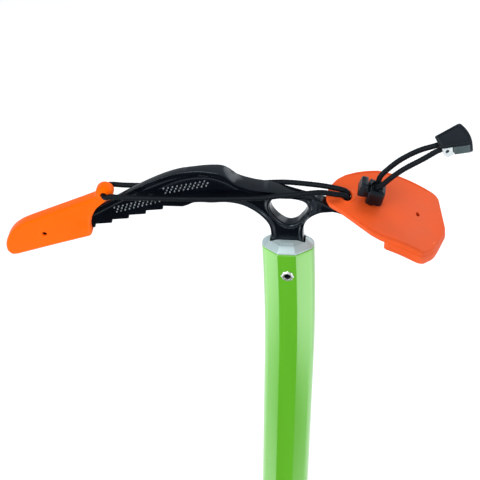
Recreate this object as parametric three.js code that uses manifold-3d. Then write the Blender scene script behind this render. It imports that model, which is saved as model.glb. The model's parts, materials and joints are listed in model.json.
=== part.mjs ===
// Ice axe: a forged head on a gently bent aluminium shaft, with its removable pick and adze guards on,
// held by one loop of shock cord, a sprung cord lock and a two-part pull tab.
// Millimetres. +Z runs up the shaft, +X towards the adze, -X towards the pick, +Y to the far side.
// The origin is the small flat at the tip of the spike.
import * as THREE from "three";
import { mergeVertices } from "three/addons/utils/BufferGeometryUtils.js";
import Module from "manifold-3d";

const wasm = await Module();
wasm.setup();

// ---------- Driving dimensions ----------
const AXE_HEIGHT = 500;
const HEAD_RISE = 54; // from the shaft's top rim to the highest point of the head
const GAP = 0.3; // clearance between neighbouring pieces
const ARC_STEPS = 8; // segments of each curve in an outline
const SIDE_STEPS = 4; // segments of each quarter of the shaft's rounded sides
const WIDE = 20; // half-width of a cutter or a plate that reaches past the shaft and the web
const BROAD = 40; // half-width of one that reaches past the adze and its guard
const BELOW = -60; // heights past the bottom and the top of the head, in its own frame
const ABOVE = 80;

const shaft = {
  halfThickness: 10.75,
  sideCentre: 9.45, // the rounded sides are arcs about x = +-sideCentre
  sideRadius: 6.5,
  wall: 1.9,
  bottom: 60,
  top: AXE_HEIGHT - HEAD_RISE,
  bendLength: 100, // the top of the shaft is bent towards the pick over this length
  bendRadius: 1830,
};
const collar = { chamfer: 3.7, spigot: 11 };
const rivet = { drop: 16.8, shankRadius: 2.9, boreRadius: 1.7, flangeRadius: 4.2, flange: 0.8 };
const tang = { halfWidth: 9, halfSlot: 3.1, depth: 46 };
const spike = { tipHalf: 1.2, tangHalfWidth: 8, tangTop: 94, rivetHeight: 78 };

// Side view of the head, in a frame at the middle of the shaft's top rim: x fore-aft, z up.
const head = {
  thickness: 5.6,
  tip: [-157, -13.2],
  firstTooth: [-138.9, -5.1],
  teeth: 6,
  toothPitch: 10.6,
  toothRun: 10.3,
  toothRunRise: 2.1,
  toothPitchRise: 4.85,
  flangeDepth: 3.5,
  neckLeft: -10,
  neckRight: 9.5,
};

// The adze and its guard are bent to circles about this centre, so the guard slides off round it.
const bend = { x: 30, z: -54.8 };
const blade = {
  topRadius: 92.3,
  bottomRadius: 89.7,
  rootTop: 89.2,
  rootBottom: 86.2,
  rootX: 26,
  tipX: 88.5,
  halfWidth: 25,
};
const flap = {
  topRadius: 96,
  underRadius: 92.8,
  pocketFloor: 89.3,
  pocketOutside: 87.5,
  tongueX: 21.5,
  mouthX: 60,
  tip: [93, 3.5], // the blunt peak of the outer end, a little off the middle
  halfWidth: 30,
  pocketHalfWidth: 26,
  taper: 1.5, // how much thinner the pocket is at its outer end
};
const sheath = {
  thickness: 9,
  cavity: 6.2,
  knob: [-110.7, 30],
  knobRadius: 5.3,
  knobBore: 2.3,
  vent: [-149.5, -4.4],
};
const ventRadius = 1.3;
const cord = { radius: 1.5, strandY: 6.5, pairY: 2, throughX: 33.8 };
const lock = {
  lean: 11, // degrees round the bend centre from the top of the flap
  lift: 2.2, // it rides a little above the flap, on the cord
  bodyFrom: -4.6,
  bodyTo: 6,
  width: 13,
  height: 8.8,
  cavityEnd: 5,
  stemEnd: 2.4,
  travel: 1.6,
  pad: { thickness: 3.6, width: 12, height: 7.6, raise: 1.4 },
  exitHeight: 9, // where the strands leave it, and their tail can swing
  cordX: -0.4,
};
const tab = {
  x: 83,
  z: 82.3,
  pitch: 11,
  yaw: 22,
  length: 17,
  entryHalf: 5.6,
  outerHalf: 10,
  bulge: 1.5, // how far the middle of the outer end stands past its corners
  split: 6.4, // the clip and the insert meet here, under the shell
  seam: 1.9, // the shell lies over the clip and the insert at this height
  shellTop: 3.8,
  clipBottom: -3.1,
  cordZ: -0.4,
};

// ---------- Materials ----------
const material = (color, roughness, metalness) =>
  new THREE.MeshStandardMaterial({ color, roughness, metalness });
const blackSteel = material(0x0d1217, 0.35, 0.6);
const greenAnodised = material(0x7ac943, 0.35, 0.5);
const silverAluminium = material(0xc4cfca, 0.25, 1);
const rivetSteel = material(0xb9bfc2, 0.25, 1);
const sheathPlastic = material(0xff6a0c, 0.45, 0);
const flapRubber = material(0xec6338, 0.5, 0);
const blackCord = material(0x0a0b0d, 0.85, 0);
const blackPlastic = material(0x14191d, 0.45, 0);
const slatePlastic = material(0x2b3741, 0.5, 0);
const greyPlastic = material(0x4a6064, 0.5, 0);
const whitePlastic = material(0xe6eeee, 0.4, 0);
const fillerPlastic = material(0x3a3d40, 0.7, 0);

// ---------- Joining and cutting ----------
function solidOf(geometry) {
  const bare = geometry.clone();
  bare.deleteAttribute("normal");
  bare.deleteAttribute("uv");
  const merged = mergeVertices(bare, 1e-4);
  return new wasm.Manifold(
    new wasm.Mesh({
      numProp: 3,
      vertProperties: new Float32Array(merged.attributes.position.array),
      triVerts: new Uint32Array(merged.index.array),
    }),
  );
}

function geometryOf(solid) {
  const mesh = solid.getMesh();
  const geometry = new THREE.BufferGeometry();
  geometry.setAttribute("position", new THREE.BufferAttribute(mesh.vertProperties, 3));
  geometry.setIndex(new THREE.BufferAttribute(mesh.triVerts, 1));
  return geometry;
}

const combine = (method, first, others) =>
  geometryOf(others.reduce((sum, g) => sum[method](solidOf(g)), solidOf(first)));
const join = (first, ...others) => combine("add", first, others);
const cut = (first, ...tools) => combine("subtract", first, tools);
const common = (first, ...others) => combine("intersect", first, others);

// ---------- Shapes ----------
// A side-view shape (x, z) as a plate centred on y = 0.
function sidePlate(shape, thickness) {
  const geometry = new THREE.ExtrudeGeometry(shape, {
    depth: thickness,
    bevelEnabled: false,
    curveSegments: ARC_STEPS,
  });
  return geometry.translate(0, 0, -thickness / 2).rotateX(Math.PI / 2);
}

// A plan shape (x, y) as a plate between two heights.
function planPlate(shape, low, high) {
  const geometry = new THREE.ExtrudeGeometry(shape, {
    depth: high - low,
    bevelEnabled: false,
    curveSegments: ARC_STEPS,
  });
  return geometry.translate(0, 0, low);
}

function box(x0, x1, y0, y1, z0, z1) {
  const geometry = new THREE.BoxGeometry(x1 - x0, y1 - y0, z1 - z0);
  return geometry.translate((x0 + x1) / 2, (y0 + y1) / 2, (z0 + z1) / 2);
}

const polygon = (points) => new THREE.Shape(points.map(([x, y]) => new THREE.Vector2(x, y)));

// A plan outline that is the same on both sides, from [x, halfWidth] stations.
const mirroredPlan = (stations) => polygon([...stations.map(([x, w]) => [x, -w]), ...stations.toReversed()]);

function rod(radius, halfLength, x, z, sides = 20) {
  return new THREE.CylinderGeometry(radius, radius, 2 * halfLength, sides).translate(x, 0, z);
}

// The bore in a tang or a filler for a rivet's shank.
const rivetBore = (x, z) => rod(rivet.shankRadius + GAP / 2, WIDE, x, z);

function spline(shape, points) {
  shape.splineThru(points.map(([x, y]) => new THREE.Vector2(x, y)));
}

function mesh(name, geometry, look) {
  const made = new THREE.Mesh(geometry, look);
  made.name = name;
  return made;
}

// ---------- Shaft ----------
// The shaft's section, drawn inset by a distance: two flats, four facets and two rounded sides.
function shaftSection(inset, PathType = THREE.Shape) {
  const facet = THREE.MathUtils.degToRad(55); // direction of each facet's normal
  const radius = shaft.sideRadius - inset;
  const flatY = shaft.halfThickness - inset;
  const cornerX = shaft.sideCentre + (radius - flatY * Math.sin(facet)) / Math.cos(facet);
  const path = new PathType();
  path.absarc(shaft.sideCentre, 0, radius, -facet, facet, false);
  path.lineTo(cornerX, flatY);
  path.lineTo(-cornerX, flatY);
  path.absarc(-shaft.sideCentre, 0, radius, Math.PI - facet, Math.PI + facet, false);
  path.lineTo(-cornerX, -flatY);
  path.lineTo(cornerX, -flatY);
  path.closePath();
  return path;
}

// Bends a straight upright geometry to the curve of the shaft's top.
function bendWithShaft(geometry) {
  const start = shaft.top - shaft.bendLength;
  const position = geometry.attributes.position;
  for (let i = 0; i < position.count; i++) {
    const rise = position.getZ(i) - start;
    if (rise <= 0) continue;
    const reach = shaft.bendRadius + position.getX(i);
    const angle = rise / shaft.bendRadius;
    position.setX(i, reach * Math.cos(angle) - shaft.bendRadius);
    position.setZ(i, start + reach * Math.sin(angle));
  }
  return geometry;
}

function shaftLength(inset, low, high, steps, bore) {
  const section = shaftSection(inset);
  if (bore) section.holes.push(shaftSection(bore, THREE.Path));
  const geometry = new THREE.ExtrudeGeometry(section, {
    depth: high - low,
    steps,
    bevelEnabled: false,
    curveSegments: SIDE_STEPS,
  });
  return bendWithShaft(geometry.translate(0, 0, low));
}

// The frame at the shaft's bent top: where its centre is, and how far it leans.
const topLean = shaft.bendLength / shaft.bendRadius;
const topX = shaft.bendRadius * (Math.cos(topLean) - 1);
const topZ = shaft.top - shaft.bendLength + shaft.bendRadius * Math.sin(topLean);
const headRivetX = topX + rivet.drop * Math.sin(topLean);
const headRivetZ = topZ - rivet.drop * Math.cos(topLean);

function shaftTube() {
  const tube = shaftLength(0, shaft.bottom, shaft.top, 16, shaft.wall);
  const headHole = rivetBore(headRivetX, headRivetZ);
  return mesh("shaft_tube", cut(tube, headHole, rivetBore(0, spike.rivetHeight)), greenAnodised);
}

// The machined end plug: a chamfered flange on the rim, a spigot inside the tube, and the tang's slot.
function shaftCollar() {
  const rise = 2;
  const flange = new THREE.ExtrudeGeometry(shaftSection(collar.chamfer), {
    depth: rise,
    bevelThickness: collar.chamfer,
    bevelSize: collar.chamfer,
    bevelSegments: 1,
    curveSegments: SIDE_STEPS,
  });
  flange.translate(0, 0, GAP - rise);
  const below = box(-WIDE, WIDE, -WIDE, WIDE, BELOW, GAP);
  const spigot = new THREE.ExtrudeGeometry(shaftSection(shaft.wall + GAP), {
    depth: collar.spigot + 1,
    bevelEnabled: false,
    curveSegments: SIDE_STEPS,
  });
  spigot.translate(0, 0, -collar.spigot);
  const slotHalf = -head.neckLeft + 0.8;
  const slot = box(-slotHalf, slotHalf, -tang.halfSlot, tang.halfSlot, BELOW, ABOVE);
  const plug = mesh("shaft_collar", cut(join(cut(flange, below), spigot), slot), silverAluminium);
  plug.position.set(topX, 0, topZ);
  plug.rotation.y = -topLean;
  return plug;
}

// Two moulded halves fill the tube on each side of a flat tang: side -1 is near, +1 far.
function fillerHalf(name, side, low, high, rivetX, rivetZ) {
  const whole = shaftLength(shaft.wall + GAP, low, high, 4);
  const near = tang.halfSlot;
  const keep = box(-WIDE, WIDE, near, WIDE, 0, AXE_HEIGHT);
  if (side < 0) keep.rotateZ(Math.PI);
  const hole = rivetBore(rivetX, rivetZ);
  return mesh(name, cut(common(whole, keep), hole), fillerPlastic);
}

// A tubular rivet along y, flared over the flats at both ends.
function tubularRivet(name) {
  const reach = shaft.halfThickness + 0.1;
  const profile = [
    [rivet.boreRadius, -reach - rivet.flange],
    [rivet.flangeRadius - 0.6, -reach - rivet.flange],
    [rivet.flangeRadius, -reach],
    [rivet.shankRadius, -reach],
    [rivet.shankRadius, reach],
    [rivet.flangeRadius, reach],
    [rivet.flangeRadius - 0.6, reach + rivet.flange],
    [rivet.boreRadius, reach + rivet.flange],
    [rivet.boreRadius, -reach - rivet.flange],
  ];
  const outline = profile.map(([radius, y]) => new THREE.Vector2(radius, y));
  return mesh(name, new THREE.LatheGeometry(outline, 20), rivetSteel);
}

// ---------- Spike ----------
function spikePoint() {
  const half = shaft.sideCentre + shaft.sideRadius;
  const shoulder = shaft.bottom - GAP;
  const side = new THREE.Shape();
  side.moveTo(-spike.tipHalf, 0);
  side.lineTo(spike.tipHalf, 0);
  side.bezierCurveTo(6, 22, half - 1, 38, half - 0.4, shoulder);
  side.lineTo(-half + 0.4, shoulder);
  side.bezierCurveTo(-half + 1, 38, -6, 22, -spike.tipHalf, 0);
  const front = new THREE.Shape();
  const depth = shaft.halfThickness - 0.3;
  front.moveTo(-spike.tipHalf, 0);
  front.lineTo(spike.tipHalf, 0);
  front.bezierCurveTo(3.5, 20, depth - 1, 34, depth, shoulder);
  front.lineTo(-depth, shoulder);
  front.bezierCurveTo(-depth + 1, 34, -3.5, 20, -spike.tipHalf, 0);
  const point = common(
    sidePlate(side, 2 * WIDE),
    sidePlate(front, 2 * WIDE).rotateZ(Math.PI / 2),
    shaftLength(GAP, -1, shoulder, 1),
  );
  const tangHalf = spike.tangHalfWidth;
  const halfThick = head.thickness / 2;
  const tongue = box(-tangHalf, tangHalf, -halfThick, halfThick, shoulder / 2, spike.tangTop);
  return mesh("spike", cut(join(point, tongue), rivetBore(0, spike.rivetHeight)), blackSteel);
}

// ---------- Head ----------
function headUnderside(shape) {
  shape.moveTo(...head.tip);
  for (let i = 0; i < head.teeth; i++) {
    const x = head.firstTooth[0] + i * head.toothPitch;
    const z = head.firstTooth[1] + i * head.toothPitchRise;
    shape.lineTo(x, z);
    shape.lineTo(x + head.toothRun, z + head.toothRunRise);
  }
  // A low swelling behind the last tooth leads into the neck.
  shape.lineTo(-75.3, 24);
  shape.lineTo(-63.4, 25);
  spline(shape, [
    [-60.4, 26.4],
    [-57, 28.6],
    [-52, 29.8],
    [-45.5, 30.4],
    [-36.5, 31.6],
    [-27.2, 30.2],
    [-18, 24.6],
    [-11.7, 16.7],
    [head.neckLeft, 10],
  ]);
}

const headTop = [
  [14, 39.4],
  [1.2, 41.4],
  [-13.6, 44.1],
  [-22.6, 45],
  [-31.5, 47.8],
  [-36.2, 51.6],
  [-40.2, 53.7],
  [-46, HEAD_RISE],
  [-55, 53.1],
  [-67.5, 49.6],
  [-82, 42],
  [-106, 25],
  [-125, 10.6],
  [-145, -4.5],
];

function headProfile() {
  const shape = new THREE.Shape();
  headUnderside(shape);
  const corner = 3;
  shape.lineTo(-tang.halfWidth - 1, corner);
  shape.lineTo(-tang.halfWidth, -2);
  shape.lineTo(-tang.halfWidth, corner - tang.depth);
  shape.lineTo(corner - tang.halfWidth, -tang.depth);
  shape.lineTo(tang.halfWidth - corner, -tang.depth);
  shape.lineTo(tang.halfWidth, corner - tang.depth);
  shape.lineTo(tang.halfWidth, -2);
  shape.lineTo(head.neckRight, 5);
  spline(shape, [[8.8, 13.5], [9.9, 20.2], [12.8, 24.8], [17.6, 28.4], [blade.rootX, 31.5]]);
  shape.lineTo(blade.rootX, 34);
  shape.lineTo(...headTop[0]);
  spline(shape, headTop.slice(1));
  shape.lineTo(...head.tip);
  return shape;
}

// The carabiner hole: a rounded trapezium, wider at the top.
function carabinerHole() {
  const shape = new THREE.Shape();
  shape.moveTo(0.2, 18);
  spline(shape, [[4.6, 19.7], [7.4, 23.4], [10, 27.8], [11.2, 32.4], [8.8, 36.3], [2.8, 38.2], [-3.6, 38.6]]);
  spline(shape, [[-9, 37], [-11.3, 33], [-10.2, 27.2], [-5, 20.6], [0.2, 18]]);
  return shape;
}

// The strip just under the head's top line, which the flange is cut from.
function flangeBand() {
  const shape = new THREE.Shape();
  const [startX, startZ] = headTop[0];
  shape.moveTo(startX, startZ);
  spline(shape, headTop.slice(1));
  const lower = headTop.map(([x, z]) => [x, z - head.flangeDepth]).reverse();
  shape.lineTo(...lower[0]);
  spline(shape, lower.slice(1));
  shape.closePath();
  return shape;
}

const smooth = (x, from, to) => THREE.MathUtils.smoothstep(x, from, to);
const arcHeight = (x, radius) => bend.z + Math.sqrt(radius ** 2 - (x - bend.x) ** 2);

// Draws a line round the bend centre between two x, at a radius that may vary with x.
function arcTo(shape, from, to, radius) {
  const steps = Math.max(1, Math.round(Math.abs(to - from) / 4));
  for (let i = 0; i <= steps; i++) {
    const x = from + ((to - from) * i) / steps;
    const z = arcHeight(x, radius(x));
    if (shape.curves.length || i) shape.lineTo(x, z);
    else shape.moveTo(x, z);
  }
}

// The adze in side view: thick at its root, thin and concentric with the guard at its cutting end.
function adzeProfile() {
  const top = (x) => blade.rootTop + (blade.topRadius - blade.rootTop) * smooth(x, 50, 61);
  const thinning = blade.bottomRadius - blade.rootBottom;
  const bottom = (x) => blade.rootBottom + thinning * smooth(x, blade.rootX, 60);
  const sharpen = (x) => 0.9 * smooth(x, blade.tipX - 10, blade.tipX);
  const shape = new THREE.Shape();
  shape.moveTo(13, 25.4);
  shape.lineTo(18, 28.9);
  arcTo(shape, blade.rootX, blade.tipX, (x) => bottom(x) + sharpen(x));
  arcTo(shape, blade.tipX, blade.rootX, (x) => top(x) - sharpen(x));
  shape.lineTo(19, 37.4);
  shape.lineTo(13, 39.4);
  return shape;
}

function forgedHead() {
  const webHalf = head.thickness / 2;
  const webPlan = mirroredPlan([[-158, 1.2], [-110, 2], [-60, webHalf], [30, webHalf]]);
  const flangePlan = mirroredPlan([
    [-158, 1.2],
    [-85, 2.1],
    [-67, 2.6],
    [-55, 2.9],
    [-46, 4],
    [-36, 4.9],
    [-23, 5.3],
    [-13, 5.1],
    [-2, 4.6],
    [8, 3.4],
    [15, webHalf],
  ]);
  const adzePlan = mirroredPlan([
    [13, webHalf],
    [20, 3.6],
    [28, 4.8],
    [36, 8.5],
    [44, 13.5],
    [52, 19],
    [60, 24],
    [65, blade.halfWidth],
    [77.5, blade.halfWidth],
    [81, 23],
    [85, 15.5],
    [blade.tipX, 2],
  ]);
  const web = common(sidePlate(headProfile(), WIDE), planPlate(webPlan, BELOW, ABOVE));
  const flange = common(sidePlate(flangeBand(), WIDE), planPlate(flangePlan, BELOW, ABOVE));
  const adze = common(sidePlate(adzeProfile(), 2 * BROAD), planPlate(adzePlan, BELOW, ABOVE));
  const hole = sidePlate(carabinerHole(), WIDE);
  const rivetHole = rivetBore(headRivetX - topX, headRivetZ - topZ);
  return mesh("head", cut(join(web, flange, adze), hole, rivetHole), blackSteel);
}

// ---------- Guards ----------
function sheathOutline() {
  const shape = new THREE.Shape();
  shape.moveTo(-121.5, -3.3);
  shape.lineTo(-119.5, 3.5);
  spline(shape, [[-119.5, 10], [-115.8, 18.5], [-111, 24.5]]);
  shape.lineTo(-118, 25.5);
  shape.lineTo(-158, 3.6);
  spline(shape, [[-166.2, -1.8], [-171.6, -7.8], [-174.6, -15], [-174.2, -21.4], [-170, -24]]);
  return shape;
}

// The pick guard: a narrow pocket over the pick's point, with a bored knob for the cord at its mouth.
function pickGuard() {
  const cavity = polygon([
    [-100, 33],
    [-140, 4.5],
    [-155, -5],
    [-161, -10.5],
    [-160.5, -16.5],
    [-156, -15.8],
    [-100, 9],
  ]);
  const [knobX, knobZ] = sheath.knob;
  const knob = rod(sheath.knobRadius, sheath.thickness / 2, knobX, knobZ, 24);
  const stalk = polygon([
    [-124, 20],
    [-115, 24.4],
    [-107, 26.4],
    [-111.5, 34.6],
    [-117, 29],
  ]);
  const shell = cut(
    join(sidePlate(sheathOutline(), sheath.thickness), sidePlate(stalk, sheath.thickness), knob),
    sidePlate(cavity, sheath.cavity),
    rod(sheath.knobBore, WIDE, knobX, knobZ),
    rod(ventRadius, WIDE, ...sheath.vent),
  );
  return mesh("pick_guard", shell, sheathPlastic);
}

function flapProfile() {
  const shape = new THREE.Shape();
  const outside = (x) => flap.pocketOutside + flap.taper * smooth(x, 70, flap.tip[0]);
  arcTo(shape, flap.tongueX, flap.mouthX, () => flap.underRadius);
  arcTo(shape, flap.mouthX, flap.tip[0], outside);
  arcTo(shape, flap.tip[0], flap.tongueX, () => flap.topRadius);
  return shape;
}

function pocketProfile() {
  const shape = new THREE.Shape();
  const from = flap.mouthX - 8;
  const to = flap.tip[0] - 2;
  const floor = (x) => flap.pocketFloor + 0.8 * smooth(x, 78, 89);
  arcTo(shape, from, to, floor);
  arcTo(shape, to, from, () => flap.underRadius);
  return shape;
}

// A slot for the two strands, cut down through the flap at an angle round the bend centre.
function strandSlot(degrees) {
  const halfX = cord.radius + 0.9;
  const halfY = cord.pairY + cord.radius + 0.8;
  const slot = box(-halfX, halfX, -halfY, halfY, flap.pocketOutside - 5, flap.topRadius + 5);
  return slot.rotateY(THREE.MathUtils.degToRad(degrees)).translate(bend.x, 0, bend.z);
}

const throughAngle = THREE.MathUtils.radToDeg(Math.asin((cord.throughX - bend.x) / flap.topRadius));
const lockCordAngle = lock.lean + THREE.MathUtils.radToDeg(lock.cordX / flap.topRadius);

// The adze guard: a curved flap that ends in a shallow pocket over the adze's cutting end.
function adzeGuard() {
  const half = flap.halfWidth;
  const plan = polygon([
    [flap.tongueX, 2.5],
    [flap.tongueX, -2],
    [24, -8.2],
    [30.5, -13],
    [36.6, -18],
    [42.7, -22.9],
    [48.8, -27.2],
    [54.8, -29.7],
    [59, -half],
    [77.5, -half],
    [80.6, -28.6],
    [83.4, -25],
    [86.8, -19],
    flap.tip,
    [87.6, 25],
    [86.6, 27.6],
    [83.6, 29.2],
    [57, 29.3],
    [50, 28.6],
    [43, 25.8],
    [37, 23],
    [31, 19.4],
    [26.5, 15],
    [23.2, 9],
  ]);
  const inside = mirroredPlan([
    [40, flap.pocketHalfWidth],
    [77.8, flap.pocketHalfWidth],
    [81.8, 23.6],
    [85.8, 15.9],
    [flap.tip[0] - 3, 2],
  ]);
  const outer = common(sidePlate(flapProfile(), 2 * BROAD), planPlate(plan, BELOW, ABOVE));
  const pocket = common(sidePlate(pocketProfile(), 2 * BROAD), planPlate(inside, BELOW, ABOVE));
  const vent = new THREE.CylinderGeometry(ventRadius, ventRadius, 8, 12);
  vent.rotateX(Math.PI / 2).translate(75.5, 1.8, 30);
  const shell = cut(outer, pocket, vent, strandSlot(throughAngle), strandSlot(lockCordAngle));
  return mesh("adze_guard", shell, flapRubber);
}

// ---------- Cord lock ----------
// Its own frame: x along the plunger, z out of the flap, y across. Placed on the flap by lockGroup.
function lockFrame() {
  const lean = THREE.MathUtils.degToRad(lock.lean);
  const group = new THREE.Group();
  group.position.set(
    bend.x + (flap.topRadius + lock.lift) * Math.sin(lean),
    0,
    bend.z + (flap.topRadius + lock.lift) * Math.cos(lean),
  );
  group.rotation.y = lean;
  group.updateMatrix();
  return group;
}

const lockMid = 0.5 + lock.height / 2; // height of the plunger's centre line over the flap
const lockStem = { halfWidth: 4.6, halfHeight: 2.3 };
const springRadius = { coil: 1.9, wire: 0.24 };

function roundedBlock(x0, x1, width, height, round, middle) {
  const shape = new THREE.Shape();
  const w = width / 2 - round;
  const h = height / 2 - round;
  shape.absarc(w, h, round, 0, Math.PI / 2, false);
  shape.absarc(-w, h, round, Math.PI / 2, Math.PI, false);
  shape.absarc(-w, -h, round, Math.PI, 1.5 * Math.PI, false);
  shape.absarc(w, -h, round, 1.5 * Math.PI, 2 * Math.PI, false);
  const geometry = new THREE.ExtrudeGeometry(shape, {
    depth: x1 - x0,
    bevelEnabled: false,
    curveSegments: 4,
  });
  // Turned so that the shape's x runs along y, its y along z, and the extrusion along x.
  return geometry.rotateX(Math.PI / 2).rotateZ(Math.PI / 2).translate(x0, 0, middle);
}

function strandWindow(x0, x1) {
  const halfY = cord.pairY + cord.radius + 0.5;
  return box(x0, x1, -halfY, halfY, -5, WIDE);
}

function cordLockBody() {
  const { halfWidth, halfHeight } = lockStem;
  const block = roundedBlock(lock.bodyFrom, lock.bodyTo, lock.width, lock.height, 2, lockMid);
  const cavity = box(
    lock.bodyFrom - 1,
    lock.cavityEnd,
    -halfWidth - GAP,
    halfWidth + GAP,
    lockMid - halfHeight - GAP,
    lockMid + halfHeight + GAP,
  );
  const window = strandWindow(lock.cordX - 1.9, lock.cordX + 2.5);
  return mesh("cord_lock_body", cut(block, cavity, window), blackPlastic);
}

function cordLockButton() {
  const { halfWidth, halfHeight } = lockStem;
  const headTo = lock.bodyFrom - lock.travel - 0.2;
  const { thickness, width, height, raise } = lock.pad;
  const pad = roundedBlock(headTo - thickness, headTo, width, height, 1.8, lockMid + raise);
  const stem = box(
    headTo - 1,
    lock.stemEnd,
    -halfWidth,
    halfWidth,
    lockMid - halfHeight,
    lockMid + halfHeight,
  );
  const window = strandWindow(lock.cordX - 1.8 - lock.travel, lock.cordX + 1.8);
  return mesh("cord_lock_button", cut(join(pad, stem), window), blackPlastic);
}

// A compression spring between the plunger's end and the closed end of the body.
function cordLockSpring() {
  const from = lock.stemEnd + springRadius.wire + 0.1;
  const to = lock.cavityEnd - springRadius.wire - 0.1;
  const turns = 3;
  class Coil extends THREE.Curve {
    getPoint(t, target = new THREE.Vector3()) {
      const angle = 2 * Math.PI * turns * t;
      const y = springRadius.coil * Math.cos(angle);
      const z = springRadius.coil * Math.sin(angle);
      return target.set(from + (to - from) * t, y, lockMid + z);
    }
  }
  const wire = new THREE.Shape().absarc(0, 0, springRadius.wire, 0, 2 * Math.PI, false);
  const geometry = new THREE.ExtrudeGeometry(wire, {
    steps: 14 * turns,
    curveSegments: 6,
    extrudePath: new Coil(),
    bevelEnabled: false,
  });
  return mesh("cord_lock_spring", geometry, rivetSteel);
}

// ---------- Pull tab ----------
// Its own frame: x from the cord's entry to the outer end, z out of the upper shell.
function tabFrame() {
  const group = new THREE.Group();
  group.position.set(tab.x, 0, tab.z);
  const pitch = -THREE.MathUtils.degToRad(tab.pitch);
  group.rotation.set(0, pitch, THREE.MathUtils.degToRad(tab.yaw), "ZYX");
  group.updateMatrix();
  return group;
}

const tabHalf = (x) => tab.entryHalf + ((tab.outerHalf - tab.entryHalf) * x) / tab.length;
const tabKnot = { x: 9.4, y: 2.7, radius: 2 };

function tabPlate(from, to, low, high) {
  const corner = 1.2;
  const plan = mirroredPlan([
    [from, tabHalf(from) - 0.6],
    [from + 0.6, tabHalf(from)],
    [to - corner, tabHalf(to)],
    [to, tabHalf(to) - corner],
    [to + tab.bulge, 1],
  ]);
  return planPlate(plan, low, high);
}

function tabChannels() {
  const side = (y) =>
    new THREE.CylinderGeometry(1.75, 1.75, 12, 12).rotateZ(Math.PI / 2).translate(2, y, tab.cordZ);
  return [side(-cord.pairY - 0.2), side(cord.pairY + 0.2)];
}

function pullTabShell() {
  return mesh("pull_tab_shell", tabPlate(0, tab.length, tab.seam + GAP / 2, tab.shellTop), slatePlastic);
}

function pullTabClip() {
  const plate = tabPlate(tab.split + GAP, tab.length, tab.clipBottom, tab.seam - GAP / 2);
  const hollow = box(tab.split + 0.2, 13, -5.6, 5.6, tab.clipBottom + 0.6, tab.seam);
  return mesh("pull_tab_clip", cut(plate, hollow), greyPlastic);
}

function pullTabInsert() {
  const block = box(-0.4, tab.split, -6.2, 6.2, tab.clipBottom - 0.2, tab.seam - GAP / 2);
  return mesh("pull_tab_insert", cut(block, ...tabChannels()), whitePlastic);
}

// ---------- Shock cord ----------
const lockPlace = lockFrame();
const tabPlace = tabFrame();
const at = (place, x, y, z) => new THREE.Vector3(x, y, z).applyMatrix4(place.matrix);

function roundBend(degrees, radius, y) {
  const angle = THREE.MathUtils.degToRad(degrees);
  return new THREE.Vector3(bend.x + radius * Math.sin(angle), y, bend.z + radius * Math.cos(angle));
}

// One strand from its knot in the tab to the middle of the knob's bore: side -1 is near, +1 far.
// In the tail the far strand lies higher; between the guards the near one does.
function strandPoints(side) {
  const y = side * cord.pairY;
  const [knobX, knobZ] = sheath.knob;
  const under = (flap.underRadius + blade.rootTop) / 2;
  const point = (x, outward, z) => new THREE.Vector3(x, side * outward, z);
  const inTail = (x, outward, z) => point(x - side * 0.9, outward, z + side * 0.9);
  const drawn = (x, outward, z, above) => point(x, outward, z - side * above);
  return [
    at(tabPlace, tabKnot.x, y + side * 0.4, tab.cordZ),
    at(tabPlace, 4, y + side * 0.2, tab.cordZ),
    at(tabPlace, -1, y + side * 0.3, tab.cordZ),
    inTail(74, 2.9, 75.9),
    inTail(64, 3.3, 68),
    inTail(57, 3, 60.4),
    inTail(52.8, 2.4, 54.6),
    at(lockPlace, lock.cordX + 0.2, y, lock.exitHeight),
    at(lockPlace, lock.cordX, y, 3),
    at(lockPlace, lock.cordX, y, -lock.lift - 1.2),
    roundBend(lockCordAngle - 0.25, under + 1.9, y),
    roundBend(lockCordAngle - 1.4, under + 0.1, y),
    roundBend(lockCordAngle - 2.6, under, y),
    roundBend((lockCordAngle + throughAngle) / 2, under, y),
    roundBend(throughAngle + 2.6, under, y),
    roundBend(throughAngle + 1.4, under + 0.1, y),
    roundBend(throughAngle + 0.25, under + 1.9, y),
    roundBend(throughAngle, flap.underRadius + 2.2, y),
    point(cord.throughX - 0.7, 2.1, 42.5),
    point(cord.throughX - 2.6, 2.3, 43.4),
    drawn(27, 3.1, 44, 0.3),
    drawn(19, 4.3, 44.8, 1),
    drawn(8, 5.8, 44, 0.9),
    drawn(-3, 6.5, 42.8, 0.3),
    point(-15, 6.9, 40.6),
    point(-34, cord.strandY, 37.6),
    drawn(-60, cord.strandY, 34.4, 0.4),
    drawn(-100, cord.strandY, 31, 0.6),
    drawn(knobX + 4.4, cord.strandY, knobZ + 0.9, 0.6),
    point(knobX + 1.4, cord.strandY - 0.3, knobZ + 0.1),
    point(knobX + 0.3, cord.strandY - 1.5, knobZ),
    point(knobX, cord.strandY - 3.2, knobZ),
    point(knobX, 0, knobZ),
  ];
}

// One length of cord: out along the near side, through the knob, and back along the far side.
function shockCord() {
  const near = strandPoints(-1);
  const far = strandPoints(1).reverse().slice(1);
  const path = new THREE.CatmullRomCurve3([...near, ...far], false, "centripetal");
  // Equal steps between waypoints, so that the tight bends get as many rings as the long spans.
  path.getPointAt = path.getPoint;
  path.getTangentAt = path.getTangent;
  const ring = new THREE.Shape().absarc(0, 0, cord.radius, 0, 2 * Math.PI, false);
  const tube = new THREE.ExtrudeGeometry(ring, {
    steps: (near.length + far.length - 1) * 2,
    curveSegments: 5,
    extrudePath: path,
    bevelEnabled: false,
  });
  const knot = (y) => {
    const centre = at(tabPlace, tabKnot.x, y, tab.cordZ);
    return new THREE.SphereGeometry(tabKnot.radius, 12, 8).translate(...centre);
  };
  return mesh("shock_cord", join(tube, knot(-tabKnot.y), knot(tabKnot.y)), blackCord);
}

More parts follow.
